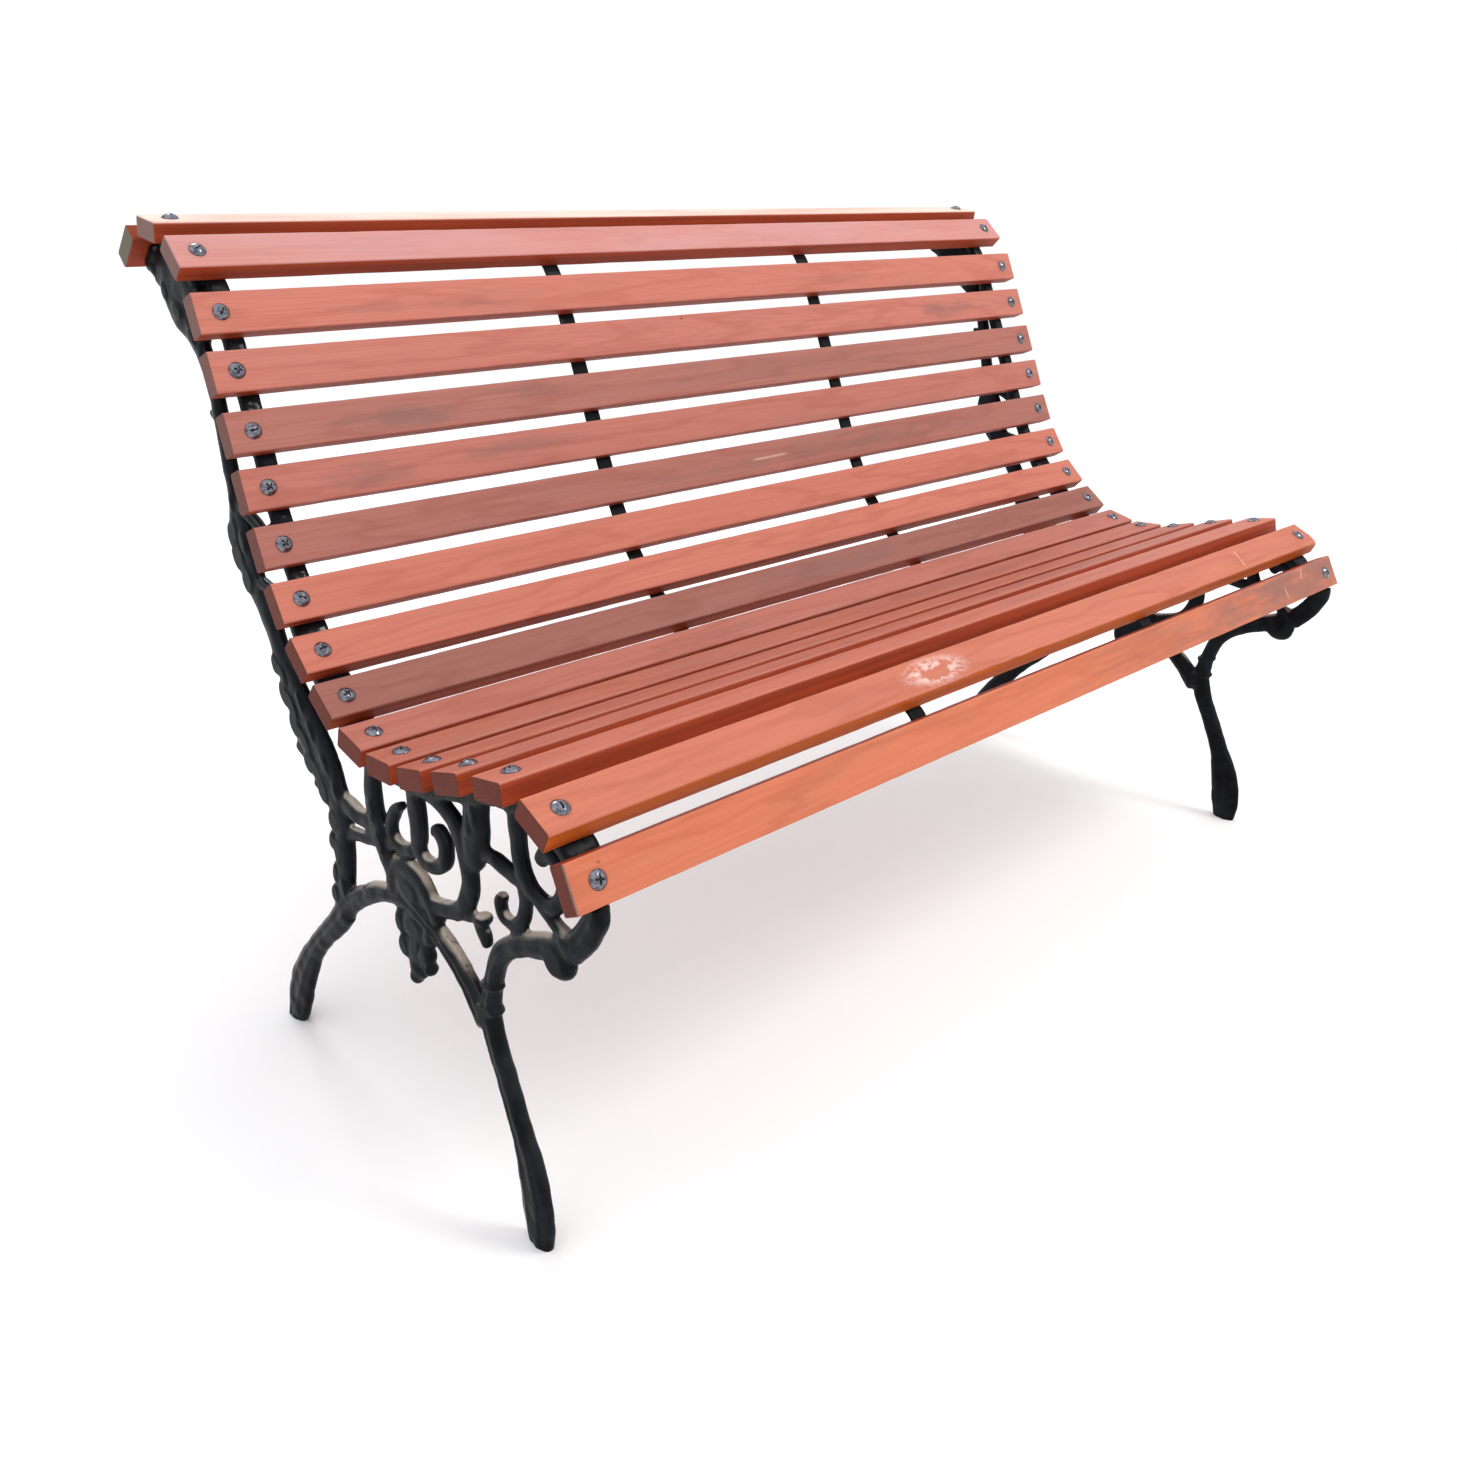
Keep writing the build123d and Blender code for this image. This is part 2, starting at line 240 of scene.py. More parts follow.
def closed_shape(grid):
    """The closed tube with its faces turned outwards."""
    points, faces = close_tube(grid)
    return points, outward(points, faces)


def oval(around, power):
    """Cosine and sine round a ring, |c|^power and |s|^power with the signs kept: a circle for
    power 1, nearer to a rectangle for less."""
    t = np.linspace(0, 2 * pi, around, endpoint=False)
    c, s = np.cos(t), np.sin(t)
    return np.sign(c) * np.abs(c) ** power, np.sign(s) * np.abs(s) ** power


def headings(line):
    """Unit vector along a line (y, z) at each of its points."""
    steps = np.gradient(line, axis=0)
    return steps / np.linalg.norm(steps, axis=1)[:, None]


def quarter_turn(ways):
    return np.stack((-ways[:, 1], ways[:, 0]), -1)


def make_object(name, points, faces):
    """A mesh object at the origin with its place in its mesh."""
    mesh = bpy.data.meshes.new(name)
    mesh.from_pydata(points.tolist(), [], faces)
    mesh.polygons.foreach_set("use_smooth", np.ones(len(faces), bool))
    mesh.update()
    made = bpy.data.objects.new(name, mesh)
    bpy.context.scene.collection.objects.link(made)
    return made


def give_attribute(made, name, kind, values):
    """Stores one number or vector per vertex, for the materials."""
    layer = made.data.attributes.new(name, kind, "POINT")
    field = "value" if kind == "FLOAT" else "vector"
    layer.data.foreach_set(field, np.asarray(values, np.float32).ravel())


def seat_points(index, x, across, height, sizes):
    """Places beside slat number index: x along the bench, across down the face and height out of
    it, each an array or one number for all."""
    middle = lay_out_slats(sizes.width, sizes.thick)[index]
    tilt = SLAT_SEATS[index][0]
    x, across, height = np.broadcast_arrays(x, across, height)
    place = middle + across[..., None] * along(tilt) + height[..., None] * outwards(tilt)
    return np.concatenate((x[..., None], place), -1)


# ---- slats ---------------------------------------------------------------------------------
def slat_section(steps=5, sides=8):
    """Rounded rectangle as four lists (a, b, c, d): a point is (a * (half width - r) + c * r,
    b * (half thickness - r) + d * r), with r the corner radius."""
    corners = ((1, 1, 0), (-1, 1, 90), (-1, -1, 180), (1, -1, 270))
    rows = []
    for number, (a, b, turn) in enumerate(corners):
        angles = np.radians(turn + np.linspace(0, 90, steps))
        rows += [(a, b, cos(t), sin(t)) for t in angles]
        next_a, next_b, next_turn = corners[(number + 1) % 4]
        shares = np.linspace(0, 1, sides)[1:-1]
        end = radians(turn + 90)
        rows += [(a + (next_a - a) * s, b + (next_b - b) * s, cos(end), sin(end)) for s in shares]
    return np.array(rows).T


END_ARRIS = 0.0012  # rounding of a slat's end, in metres
END_STEPS = 5
MIDDLE_RINGS = 131
CAP_SHARES = np.array((0.4, 0.72))[:, None]  # the smaller rings that close a slat's end
CHIPPED_SLAT = 17
CHIP_CORNER = (0.0178, 0.006)  # chips reach this far across the slat and out of its middle
CHIP_FALL = 0.6  # how much of a chip's depth comes off the outer face
WAVE_HEIGHT = 0.00010
GRAIN_HEIGHT = 0.00006


def cap_rings(values):
    """The same rings, with two smaller copies of the end rings beyond the first and the last."""
    return np.concatenate((values[:1] * CAP_SHARES, values, values[-1:] * CAP_SHARES[::-1]))


def slat_shape(index, sizes):
    """A board: the section is carried along X. Near each end it shrinks by e(1 - cos t) while x
    runs out by e sin t, which rounds the arris, and ripples shift the surface by parts of a mm."""
    half = sizes.length / 2
    turn = np.radians(np.linspace(0, 90, END_STEPS))
    end_x = half - END_ARRIS + END_ARRIS * np.sin(turn)
    end_inset = END_ARRIS * (1 - np.cos(turn))
    middle_x = np.linspace(-(half - 0.004), half - 0.004, MIDDLE_RINGS)
    x = np.concatenate((-end_x[::-1], middle_x, end_x))
    inset = np.concatenate((end_inset[::-1], np.zeros(MIDDLE_RINGS), end_inset))[:, None]
    a, b, c, d = slat_section()
    seed = 100 + index
    line = np.stack((x, np.full_like(x, index * 0.37), np.zeros_like(x)), -1)
    radius = sizes.edge * (1 + 0.4 * np.abs(ripple(line, 0.09, seed)))[:, None]
    v = a * (sizes.width / 2 - inset - radius) + c * radius
    w = b * (sizes.thick / 2 - inset - radius) + d * radius
    if index + 1 == CHIPPED_SLAT:
        v, w = chip_edge(x, v, w)
    x, v, w = np.pad(x, 2, mode="edge"), cap_rings(v), cap_rings(w)
    board = np.stack((np.broadcast_to(x[:, None], v.shape), v, w), -1)
    flat = board.reshape(-1, 3)
    worn = WAVE_HEIGHT * ripple(flat, 0.035, seed + 50) \
        + GRAIN_HEIGHT * ripple(flat * (0.2, 1, 1), 0.006, seed)
    inwards = np.sign(flat) * (0, 1, 1) * (np.abs(flat[:, :1]) < half - 0.0001)
    return (flat - inwards * np.maximum(worn, 0)[:, None]).reshape(board.shape)


def chip_edge(x, v, w):
    """Takes small bites, d(1 - ((x - p) / r)^2) deep, out of the lower front edge of a slat."""
    near = (v > CHIP_CORNER[0]) & (w > CHIP_CORNER[1])
    for place, reach, deep in CHIPS:
        bite = deep * np.clip(1 - ((x - place) / reach) ** 2, 0, 1)[:, None]
        v = v - near * bite
        w = w - near * bite * CHIP_FALL
    return v, w


class BENCH_OT_slats(bpy.types.Operator):
    """Makes the eighteen worn, stained slats"""
    bl_idname = "bench.slats"
    bl_label = "Slats"

    def execute(self, context):
        sizes = context.scene.bench_slats
        for index in range(SLAT_COUNT):
            board = slat_shape(index, sizes)
            x, v, w = board[..., 0], board[..., 1], board[..., 2]
            grid = seat_points(index, x, v, w + sizes.thick / 2, sizes)
            made = make_object(f"board_{index + 1:02d}", *closed_shape(grid))
            give_attribute(made, "board", "FLOAT_VECTOR", close_tube(board)[0])
            made.data.materials.append(stained_wood(index, sizes))
            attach(made, "root")
            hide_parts(f"slat_{index + 1:02d}")
        return {"FINISHED"}


# ---- casting -------------------------------------------------------------------------------
# Bars of the casting as stations (y, z, width) in mm, y from the feet's midpoint, after the
# share of the full thickness that the bar has.
BARS = (
    (1.0, ((-225, -9, 26), (-225, 11, 34), (-224, 28, 39), (-221, 50, 39), (-214, 75, 34),
            (-205, 100, 27), (-194, 125, 23), (-182, 150, 22), (-169, 175, 24), (-161, 205, 23))),
    (1.0, ((237, -9, 22), (230, 11, 34), (224, 28, 39), (214, 50, 39), (200, 75, 34),
            (183, 100, 27), (163, 125, 23), (138, 150, 23), (116, 171, 26), (96, 194, 27))),
    (1.0, ((105, 185, 26), (78, 212, 22), (50, 231, 20), (25, 245, 19), (0, 254, 18),
            (-25, 260, 22))),
    (0.95, ((-25, 262, 24), (-50, 259, 24), (-84, 247, 21), (-108, 234, 21), (-130, 217, 24),
            (-152, 192, 26))),
    (1.0, ((-156, 195, 26), (-164, 222, 20), (-170, 248, 18), (-180, 270, 19), (-196, 287, 20),
            (-218, 300, 20), (-243, 310, 22), (-268, 319, 24), (-290, 333, 24), (-306, 353, 23),
            (-315, 375, 22), (-306, 396, 18))),
    (1.0, ((100, 190, 28), (92, 225, 27), (88, 252, 27), (86, 282, 28), (92, 312, 38),
            (112, 345, 54))),
    (0.9, ((18, 392, 18), (21, 360, 20), (20, 332, 24), (8, 305, 27), (-8, 285, 26),
            (-26, 270, 26))),
    (0.85, ((-40, 268, 22), (-64, 272, 18), (-86, 277, 16), (-108, 283, 16), (-126, 292, 18))),
    (0.85, ((-112, 283, 16), (-127, 295, 18), (-137, 312, 20), (-139, 334, 20), (-132, 356, 20),
            (-118, 374, 18), (-97, 385, 16), (-74, 387, 16), (-54, 384, 16))),
    (0.9, ((-136, 335, 16), (-148, 358, 30), (-152, 380, 34), (-154, 408, 30))),
    (0.85, ((96, 320, 22), (70, 318, 20), (46, 316, 18), (20, 320, 20))),
    (0.7, ((84, 286, 18), (62, 292, 13), (44, 296, 12), (16, 303, 14))),
    (0.95, ((112, 345, 56), (140, 372, 56), (160, 402, 46), (182, 434, 29), (200, 464, 25),
            (224, 496, 29), (245, 528, 42), (254, 556, 42), (258, 586, 21), (266, 620, 17),
            (273, 655, 17), (281, 690, 17), (296, 722, 19), (319, 746, 27), (347, 763, 30),
            (362, 786, 32), (360, 800, 34))),
    (0.8, ((-52, 394, 20), (-55, 370, 23), (-58, 345, 22), (-56, 325, 17), (-67, 315, 14),
            (-85, 317, 14), (-99, 328, 15), (-102, 343, 17), (-94, 354, 15), (-86, 353, 11))),
    (0.75, ((-31, 357, 7), (-18, 347, 11), (-9, 332, 14), (-12, 317, 15), (-28, 312, 14),
            (-48, 318, 14))),
    (0.75, ((6, 304, 16), (-6, 308, 14), (-16, 314, 12))),
    (0.8, ((-211, 417, 18), (-213, 396, 16), (-217, 375, 16), (-228, 358, 15), (-245, 351, 14),
            (-262, 355, 14), (-273, 369, 14), (-274, 386, 13), (-264, 397, 13), (-251, 396, 15),
            (-244, 388, 13))),
    (0.7, ((-156, 362, 16), (-180, 362, 13), (-202, 359, 14), (-222, 358, 14))),
    (0.7, ((-236, 352, 12), (-250, 344, 11), (-266, 336, 12), (-282, 330, 16))),
    (0.7, ((-219, 356, 14), (-221, 338, 14), (-216, 322, 13), (-204, 312, 12), (-190, 313, 11),
            (-184, 323, 11), (-188, 332, 8))),
    (0.6, ((-118, 288, 13), (-134, 289, 10), (-147, 294, 8), (-154, 298, 5))),
    (0.7, ((-148, 293, 9), (-153, 286, 14), (-159, 279, 14), (-161, 272, 7))),
    (1.0, ((-6, 266, 18), (-14, 286, 20), (-34, 294, 22), (-56, 289, 22), (-70, 276, 20),
            (-84, 262, 16))),
    (0.7, ((110, 322, 22), (124, 322, 16), (134, 322, 7))),
    (0.7, ((150, 352, 30), (161, 352, 16), (166, 352, 8))),
    (0.7, ((176, 428, 26), (192, 430, 14), (206, 427, 6))),
    (0.7, ((272, 663, 14), (284, 666, 10), (294, 670, 5))),
    (0.9, ((296, 778, 20), (330, 786, 40), (362, 797, 44), (384, 804, 36))),
)
RIBBED_BARS = 5  # the first bars of the list, which carry raised ribs
LOBE_RELIEF = 1.18  # how much thicker the leaves are than the bars they lie on
FULLNESS = 1.05  # makes up for what smoothing takes off each bar
DOME_ANGLES = (30, 55, 75)  # of the rings that round off a bar's end
DOME_REACH = 0.45  # of the bar's half width
FLANGE_INNER = 0.016  # from the middle of the casting to the middle of its flange, in metres
FLANGE_DEPTH = (0.0058, 0.0062)  # half its thickness, and how far its middle lies in, in metres
LUG_INNER = 0.009  # from the middle of the casting to the middle of a lug, in metres
LUG_HALF_WIDTH = 0.0168
LUG_HALF_LENGTH = 0.015
LUG_PROFILE = (  # height beside the slat's resting face in metres, share of the full size
    (-0.0118, 0.5), (-0.0116, 0.93), (-0.0104, 1.0), (-0.0022, 1.0), (-0.0004, 0.98),
)
UNDER_SLAT = 0.0002  # gap between the casting's skin and a slat's resting face, in metres
BESIDE_SLAT = 0.0005  # how far from a slat's sides, and over its outer face, points are moved
OVER_SLAT = 0.006
RIBS = ((0.13, 0.30, 1.04), (-0.24, 0.20, 0.98))  # place and width across a bar, thickness
TIE_WIDTHS = (13, 10, 13)
LUMPS = ((0.00045, 0.034, 7), (0.00012, 0.016, 8), (0.00006, 0.007, 9))  # height, size, seed
SKIN = 0.0002  # makes up for what smoothing takes off all over, in metres
# Short ties between the two rails of the back: (slat counted from the rear from 0, y, z)
BACK_TIES = ((3, 303, 728), (5, 276, 650), (7, 262, 590), (8, 236, 510))

# Leaves, buds and knobs as lobes: (y, z, length, width, share of the thickness, tilt, sideways)
LOBES = (
    (-38, 276, 52, 30, 1.0, 6, 0.0),
    (-266, 307, 38, 32, 1.15, 0, 0.0), (-266, 314, 42, 22, 1.0, 14, 0.0),
    (-156, 296, 16, 12, 0.95, 0, 0.0),
    (-47, 238, 58, 38, 0.95, 0, 0.0), (-46, 214, 46, 44, 0.85, 0, 0.0),
    (-43, 196, 28, 28, 0.85, 0, 0.0), (-70, 240, 20, 30, 0.85, 25, -1.0),
    (-22, 236, 20, 30, 0.85, -15, -1.5), (-62, 216, 18, 24, 0.85, 20, -3.0),
    (-27, 212, 18, 26, 0.85, -22, -3.0), (-39, 184, 15, 18, 0.8, 0, -1.0),
    (-48, 226, 14, 34, 1.12, 8, -2.0), (-64, 202, 12, 16, 0.8, 30, -1.0),
    (-160, 209, 36, 11, 1.15, -12, 0.0), (-158, 196, 33, 12, 1.1, -12, 0.0),
    (-166, 236, 28, 10, 1.05, -10, 0.0), (-280, 328, 34, 14, 1.0, 42, 0.0),
    (-225, 16, 36, 24, 1.02, 90, 0.0), (227, 18, 36, 24, 1.02, 60, 0.0),
    (96, 296, 30, 22, 1.08, 84, -1.5), (112, 322, 34, 20, 1.05, 62, -2.5),
    (101, 272, 26, 16, 1.02, 90, -1.5), (137, 344, 30, 20, 1.05, 50, -2.5),
    (160, 376, 32, 20, 1.08, 56, -2.5), (178, 404, 34, 20, 1.05, 58, -2.5),
    (192, 432, 26, 16, 1.02, 64, -2.5), (238, 506, 28, 20, 1.05, 48, -2.5),
    (256, 528, 32, 20, 1.08, 62, -2.5), (264, 550, 30, 18, 1.05, 76, -2.5),
    (104, 212, 24, 16, 1.04, 90, -1.5),
    (88, 330, 30, 14, 0.9, 72, -1.0), (122, 340, 44, 16, 1.0, 48, -2.5),
    (104, 352, 34, 13, 0.9, 52, -1.0), (143, 366, 46, 17, 1.0, 47, -2.5),
    (128, 378, 34, 14, 0.9, 55, -1.5), (164, 396, 46, 18, 1.0, 52, -2.5),
    (146, 404, 32, 13, 0.85, 60, -1.5), (178, 424, 36, 15, 0.95, 58, -2.0),
    (92, 262, 40, 14, 0.95, 88, -2.0), (100, 236, 34, 13, 0.9, 96, -1.5),
    (86, 226, 30, 12, 0.85, 84, -2.0), (234, 512, 34, 17, 0.95, 58, -2.0),
    (248, 530, 40, 17, 1.0, 66, -2.0), (240, 548, 34, 15, 0.95, 74, -1.0),
    (256, 556, 36, 15, 0.95, 80, -2.0), (258, 584, 30, 15, 0.9, 84, -1.0),
    (312, 742, 30, 15, 0.9, 40, -2.0), (340, 764, 32, 16, 0.95, 30, -2.0),
    (366, 782, 28, 17, 0.95, 60, -2.0), (390, 802, 24, 16, 0.85, 10, -1.0),
    (-148, 384, 30, 12, 0.85, 96, -2.0), (-156, 396, 30, 12, 0.85, 84, -2.0),
    (6, 306, 30, 14, 0.95, 60, -2.0), (18, 334, 34, 14, 0.9, 86, -2.0),
)


def smooth_line(stations, steps=10):
    """Curve through the stations: between two of them, Catmull and Rom's cubic with slopes that
    are half the way from the station before to the one after."""
    given = np.array(stations, float)
    padded = np.concatenate((2 * given[:1] - given[1:2], given, 2 * given[-1:] - given[-2:-1]))
    p0, p1, p2, p3 = padded[:-3], padded[1:-2], padded[2:-1], padded[3:]
    t = np.linspace(0, 1, steps, endpoint=False)[None, :, None]
    p0, p1, p2, p3 = p0[:, None], p1[:, None], p2[:, None], p3[:, None]
    line = 0.5 * (2 * p1 + (p2 - p0) * t + (2 * p0 - 5 * p1 + 4 * p2 - p3) * t ** 2
                  + (3 * p1 - p0 - 3 * p2 + p3) * t ** 3)
    return np.concatenate((line.reshape(-1, given.shape[1]), given[-1:]))


def rib_stations(stations, side, width):
    """A narrow rib along a bar: the same line, moved across by a share of the bar's width."""
    given = np.array(stations, float)
    across = quarter_turn(headings(given[:, :2]))
    moved = given[:, :2] + across * (given[:, 2] * side)[:, None]
    return np.concatenate((moved, given[:, 2:] * width), 1)


def bar_shape(stations, x, half_thick, squareness=2.5, around=20):
    """A bar: about the centre line c(s), the point at angle t is c + a |cos t|^(2/n) across
    + b |sin t|^(2/n) sideways, with the signs kept. Both ends close as flattened half domes."""
    line = smooth_line(stations)
    centre = line[:, :2]
    heading = headings(centre)
    half_width = line[:, 2] / 2 * FULLNESS + 0.4
    dome = np.radians(DOME_ANGLES)
    before, after = (DOME_REACH * half_width[end] * np.sin(dome)[:, None] * heading[end]
                     for end in (0, -1))
    centre = np.concatenate(((centre[0] - before)[::-1], centre, centre[-1] + after))
    depth = np.concatenate((np.cos(dome)[::-1], np.ones(len(line)), np.cos(dome)))
    half_width = np.pad(half_width, 3, mode="edge") * depth
    across = np.pad(quarter_turn(heading), ((3, 3), (0, 0)), mode="edge")
    wide, deep = oval(around, 2 / squareness)
    place = centre[:, None] + across[:, None] * (half_width[:, None] * wide)[..., None]
    sideways = x + (depth[:, None] * deep) * half_thick
    grid = np.concatenate((sideways[..., None], (place + (ORIGIN_SHIFT, 0)) * MM), -1)
    return closed_shape(grid)


def lobe_shape(lobe, x, half_thick, rings=14, around=18):
    """A leaf or bud: an ellipsoid, turned by its tilt in the casting's plane."""
    y, z, length, width, share, tilt, sideways = lobe
    u = np.linspace(0, pi, rings + 2)[1:-1]
    t = np.linspace(0, 2 * pi, around, endpoint=False)
    far = np.cos(u)[:, None] * length / 2 + 0 * t
    broad = np.sin(u)[:, None] * np.cos(t) * width / 2
    deep = np.sin(u)[:, None] * np.sin(t) * half_thick * share * LOBE_RELIEF
    c, s = cos(radians(tilt)), sin(radians(tilt))
    place_y = (y + ORIGIN_SHIFT + far * c - broad * s) * MM
    place_z = (z + far * s + broad * c) * MM
    grid = np.stack((x + sideways * 0.6 * MM + deep, place_y, place_z), -1)
    return closed_shape(grid)


def flat_bar_shape(line, x, half_width, half_thick, depth, squareness=8.0):
    """Flat iron bent along a line: a rounded rectangle is carried along the line, moved in by the
    depth. The line is sampled every 3 mm and each corner is eased over its neighbours."""
    steps = np.linalg.norm(np.diff(line, axis=0), axis=1)
    far = np.concatenate(([0], np.cumsum(steps)))
    s = np.linspace(0, far[-1], int(far[-1] / 0.003))
    eased = np.stack([np.interp(s, far, line[:, k]) for k in (0, 1)], -1)
    for _ in range(2):
        eased[1:-1] = (eased[:-2] + 2 * eased[1:-1] + eased[2:]) / 4
    inwards = quarter_turn(headings(eased))
    wide, deep = oval(28, 2 / squareness)
    place = eased[:, None] + inwards[:, None] * (depth + half_thick * deep)[..., None]
    sideways = np.broadcast_to(x + half_width * wide, place.shape[:2])
    grid = np.concatenate((sideways[..., None], place), -1)
    return closed_shape(grid)


def lug_shape(index, x, half_width, sizes):
    """A block under a slat: a box whose corners are rounded by carrying a squarish oval up through
    its 12 mm height and closing it at the top and bottom."""
    wide, long = oval(28, 0.25)
    heights, shares = np.array(LUG_PROFILE).T[..., None]
    grid = seat_points(index, x + half_width * wide * shares, LUG_HALF_LENGTH * long * shares,
                       heights, sizes)
    return closed_shape(grid)


def casting_parts(x, side, casting, slats):
    """Every bar, lobe, lug and flange of one end, as closed shapes that run into each other."""
    thick = casting.half_thick
    parts = [bar_shape(stations, x, thick * share * 0.9) for share, stations in BARS]
    for _, stations in BARS[:RIBBED_BARS]:
        for across, width, share in RIBS:
            rib = rib_stations(stations, across, width)
            parts.append(bar_shape(rib, x, thick * share, 2.0))
    middles = lay_out_slats(slats.width, slats.thick)
    for index, y, z in BACK_TIES:
        tilt = SLAT_SEATS[index][0]
        root = middles[index] - along(tilt) * 0.010 - outwards(tilt) * 0.007
        start = (root[0] / MM - ORIGIN_SHIFT, root[1] / MM)
        half = ((start[0] + y) / 2, (start[1] + z) / 2)
        tie = [(*place, width) for place, width in zip((start, half, (y, z)), TIE_WIDTHS)]
        parts.append(bar_shape(tie, x, thick * 0.75))
    parts += [lobe_shape(lobe, x, thick) for lobe in LOBES]
    line = resting_line(slats.width, slats.thick)
    seat_line = line[2 * (BACK_SLATS - 1):]
    parts.append(flat_bar_shape(line, x - side * FLANGE_INNER, 0.010, *FLANGE_DEPTH))
    parts.append(flat_bar_shape(seat_line, x, thick * 0.98, *FLANGE_DEPTH))
    for index in range(SLAT_COUNT):
        parts.append(lug_shape(index, x - side * LUG_INNER, LUG_HALF_WIDTH, slats))
    return parts


def blend_casting(name, points, faces, voxel):
    """One skin round all the shapes: remeshed, smoothed, then pushed in and out by ripples of
    6 to 30 mm, as sand-cast iron is. The caller then keeps points above the floor and under each
    slat's resting face."""
    rough = make_object(name + "_rough", points, faces)
    remesh = rough.modifiers.new("skin", "REMESH")
    remesh.mode = "VOXEL"
    remesh.voxel_size = voxel
    ease = rough.modifiers.new("ease", "SMOOTH")
    ease.factor = 0.5
    ease.iterations = 3
    graph = bpy.context.evaluated_depsgraph_get()
    mesh = bpy.data.meshes.new_from_object(rough.evaluated_get(graph))
    bpy.data.objects.remove(rough)
    count = len(mesh.vertices)
    place = np.empty(count * 3, np.float32)
    normal = np.empty(count * 3, np.float32)
    mesh.vertices.foreach_get("co", place)
    mesh.vertex_normals.foreach_get("vector", normal)
    place = place.reshape(-1, 3).astype(float)
    normal = normal.reshape(-1, 3).astype(float)
    lumps = sum(height * ripple(place, size, seed) for height, size, seed in LUMPS)
    return mesh, place + normal * (lumps[:, None] + SKIN)


def clear_of_slats(place, slats):
    """Moves points that lie inside a slat back to just under its resting face."""
    middles = lay_out_slats(slats.width, slats.thick)
    for index in range(SLAT_COUNT):
        tilt = SLAT_SEATS[index][0]
        away = place[:, 1:] - middles[index]
        v = away @ along(tilt)
        w = away @ outwards(tilt)
        inside = (np.abs(v) < slats.width / 2 + BESIDE_SLAT) & (w > -UNDER_SLAT) \
            & (w < slats.thick + OVER_SLAT)
        place[:, 1:] -= np.where(inside, w + UNDER_SLAT, 0)[:, None] * outwards(tilt)
    return place


class BENCH_OT_castings(bpy.types.Operator):
    """Makes the two cast-iron end frames, one the mirror image of the other"""
    bl_idname = "bench.castings"
    bl_label = "Cast end frames"

    def execute(self, context):
        casting = context.scene.bench_castings
        slats = context.scene.bench_slats
        x = slats.length / 2 - casting.inset
        points, faces = merge(casting_parts(-x, -1, casting, slats))
        mesh, place = blend_casting("casting", points, faces, casting.voxel)
        place = clear_of_slats(place, slats)
        low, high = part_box("left_end_frame")
        place = np.clip(place, np.array(low), np.array(high))
        polygons = [list(polygon.vertices) for polygon in mesh.polygons]
        paint = painted_iron(casting)
        for hand, mirrored in (("left", 1), ("right", -1)):
            made = make_object(f"{hand}_casting", place * (mirrored, 1, 1),
                               [face[::mirrored] for face in polygons])
            made.data.materials.append(paint)
            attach(made, "root")
            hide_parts(f"{hand}_end_frame")
        return {"FINISHED"}


# ---- bolts ---------------------------------------------------------------------------------
SLOTTED_SLATS = (2, 3, 5, 8, 13, 16)  # counted from 0; the other heads have a cross
RIM = 0.0007  # straight side of a head below its dome, in metres
RECESS_DEPTH = 0.0016
SLOT_WIDTH = (0.0011, 0.0005)  # half of it at the top, and how far its sides slope in
SLOT_LENGTH = (0.0046, 0.0010)


def bolt_shape(sizes, slotted, turn, length, rings=26, around=56):
    """A domed head on a shank. Over the radius r the top is a sphere's cap above a 0.7 mm rim,
    less the recess: 1.6 mm deep where a point is inside the slot or cross, with sloped sides."""
    radius = sizes.head / 2
    dome = sizes.height - RIM
    ball = (radius ** 2 + dome ** 2) / (2 * dome)
    r = np.linspace(0.02, 1, rings) * radius
    t = np.linspace(0, 2 * pi, around, endpoint=False)
    top = np.sqrt(ball ** 2 - r ** 2) - (ball - dome) + RIM
    x = r[:, None] * np.cos(t)
    y = r[:, None] * np.sin(t)
    turned_x = x * cos(turn) + y * sin(turn)
    turned_y = y * cos(turn) - x * sin(turn)
    slot = slot_depth(turned_x, turned_y)
    if not slotted:
        slot = np.maximum(slot, slot_depth(turned_y, turned_x))
    z = top[:, None] - RECESS_DEPTH * slot
    shank = sizes.shank / 2
    under = np.array(((radius, 0.0002), (radius * 0.985, 0), (shank + 0.00004, 0),
                      (shank, -0.0005), (shank, -length)))
    x = np.concatenate((x, under[:, :1] * np.cos(t)))
    y = np.concatenate((y, under[:, :1] * np.sin(t)))
    z = np.concatenate((z, under[:, 1:] + 0 * t))
    mask = np.concatenate((slot, np.zeros((len(under), around))))
    points, faces = close_tube(np.stack((x, y, z), -1))
    return points, outward(points, faces), np.concatenate((mask.ravel(), (mask[0].mean(), 0)))


def slot_depth(lengthways, crossways):
    """1 inside the slot, falling to 0 over the slope of its sides and of its ends."""
    side, end = (np.clip((half - np.abs(far)) / slope, 0, 1) for far, (half, slope)
                 in ((crossways, SLOT_WIDTH), (lengthways, SLOT_LENGTH)))
    return side * end


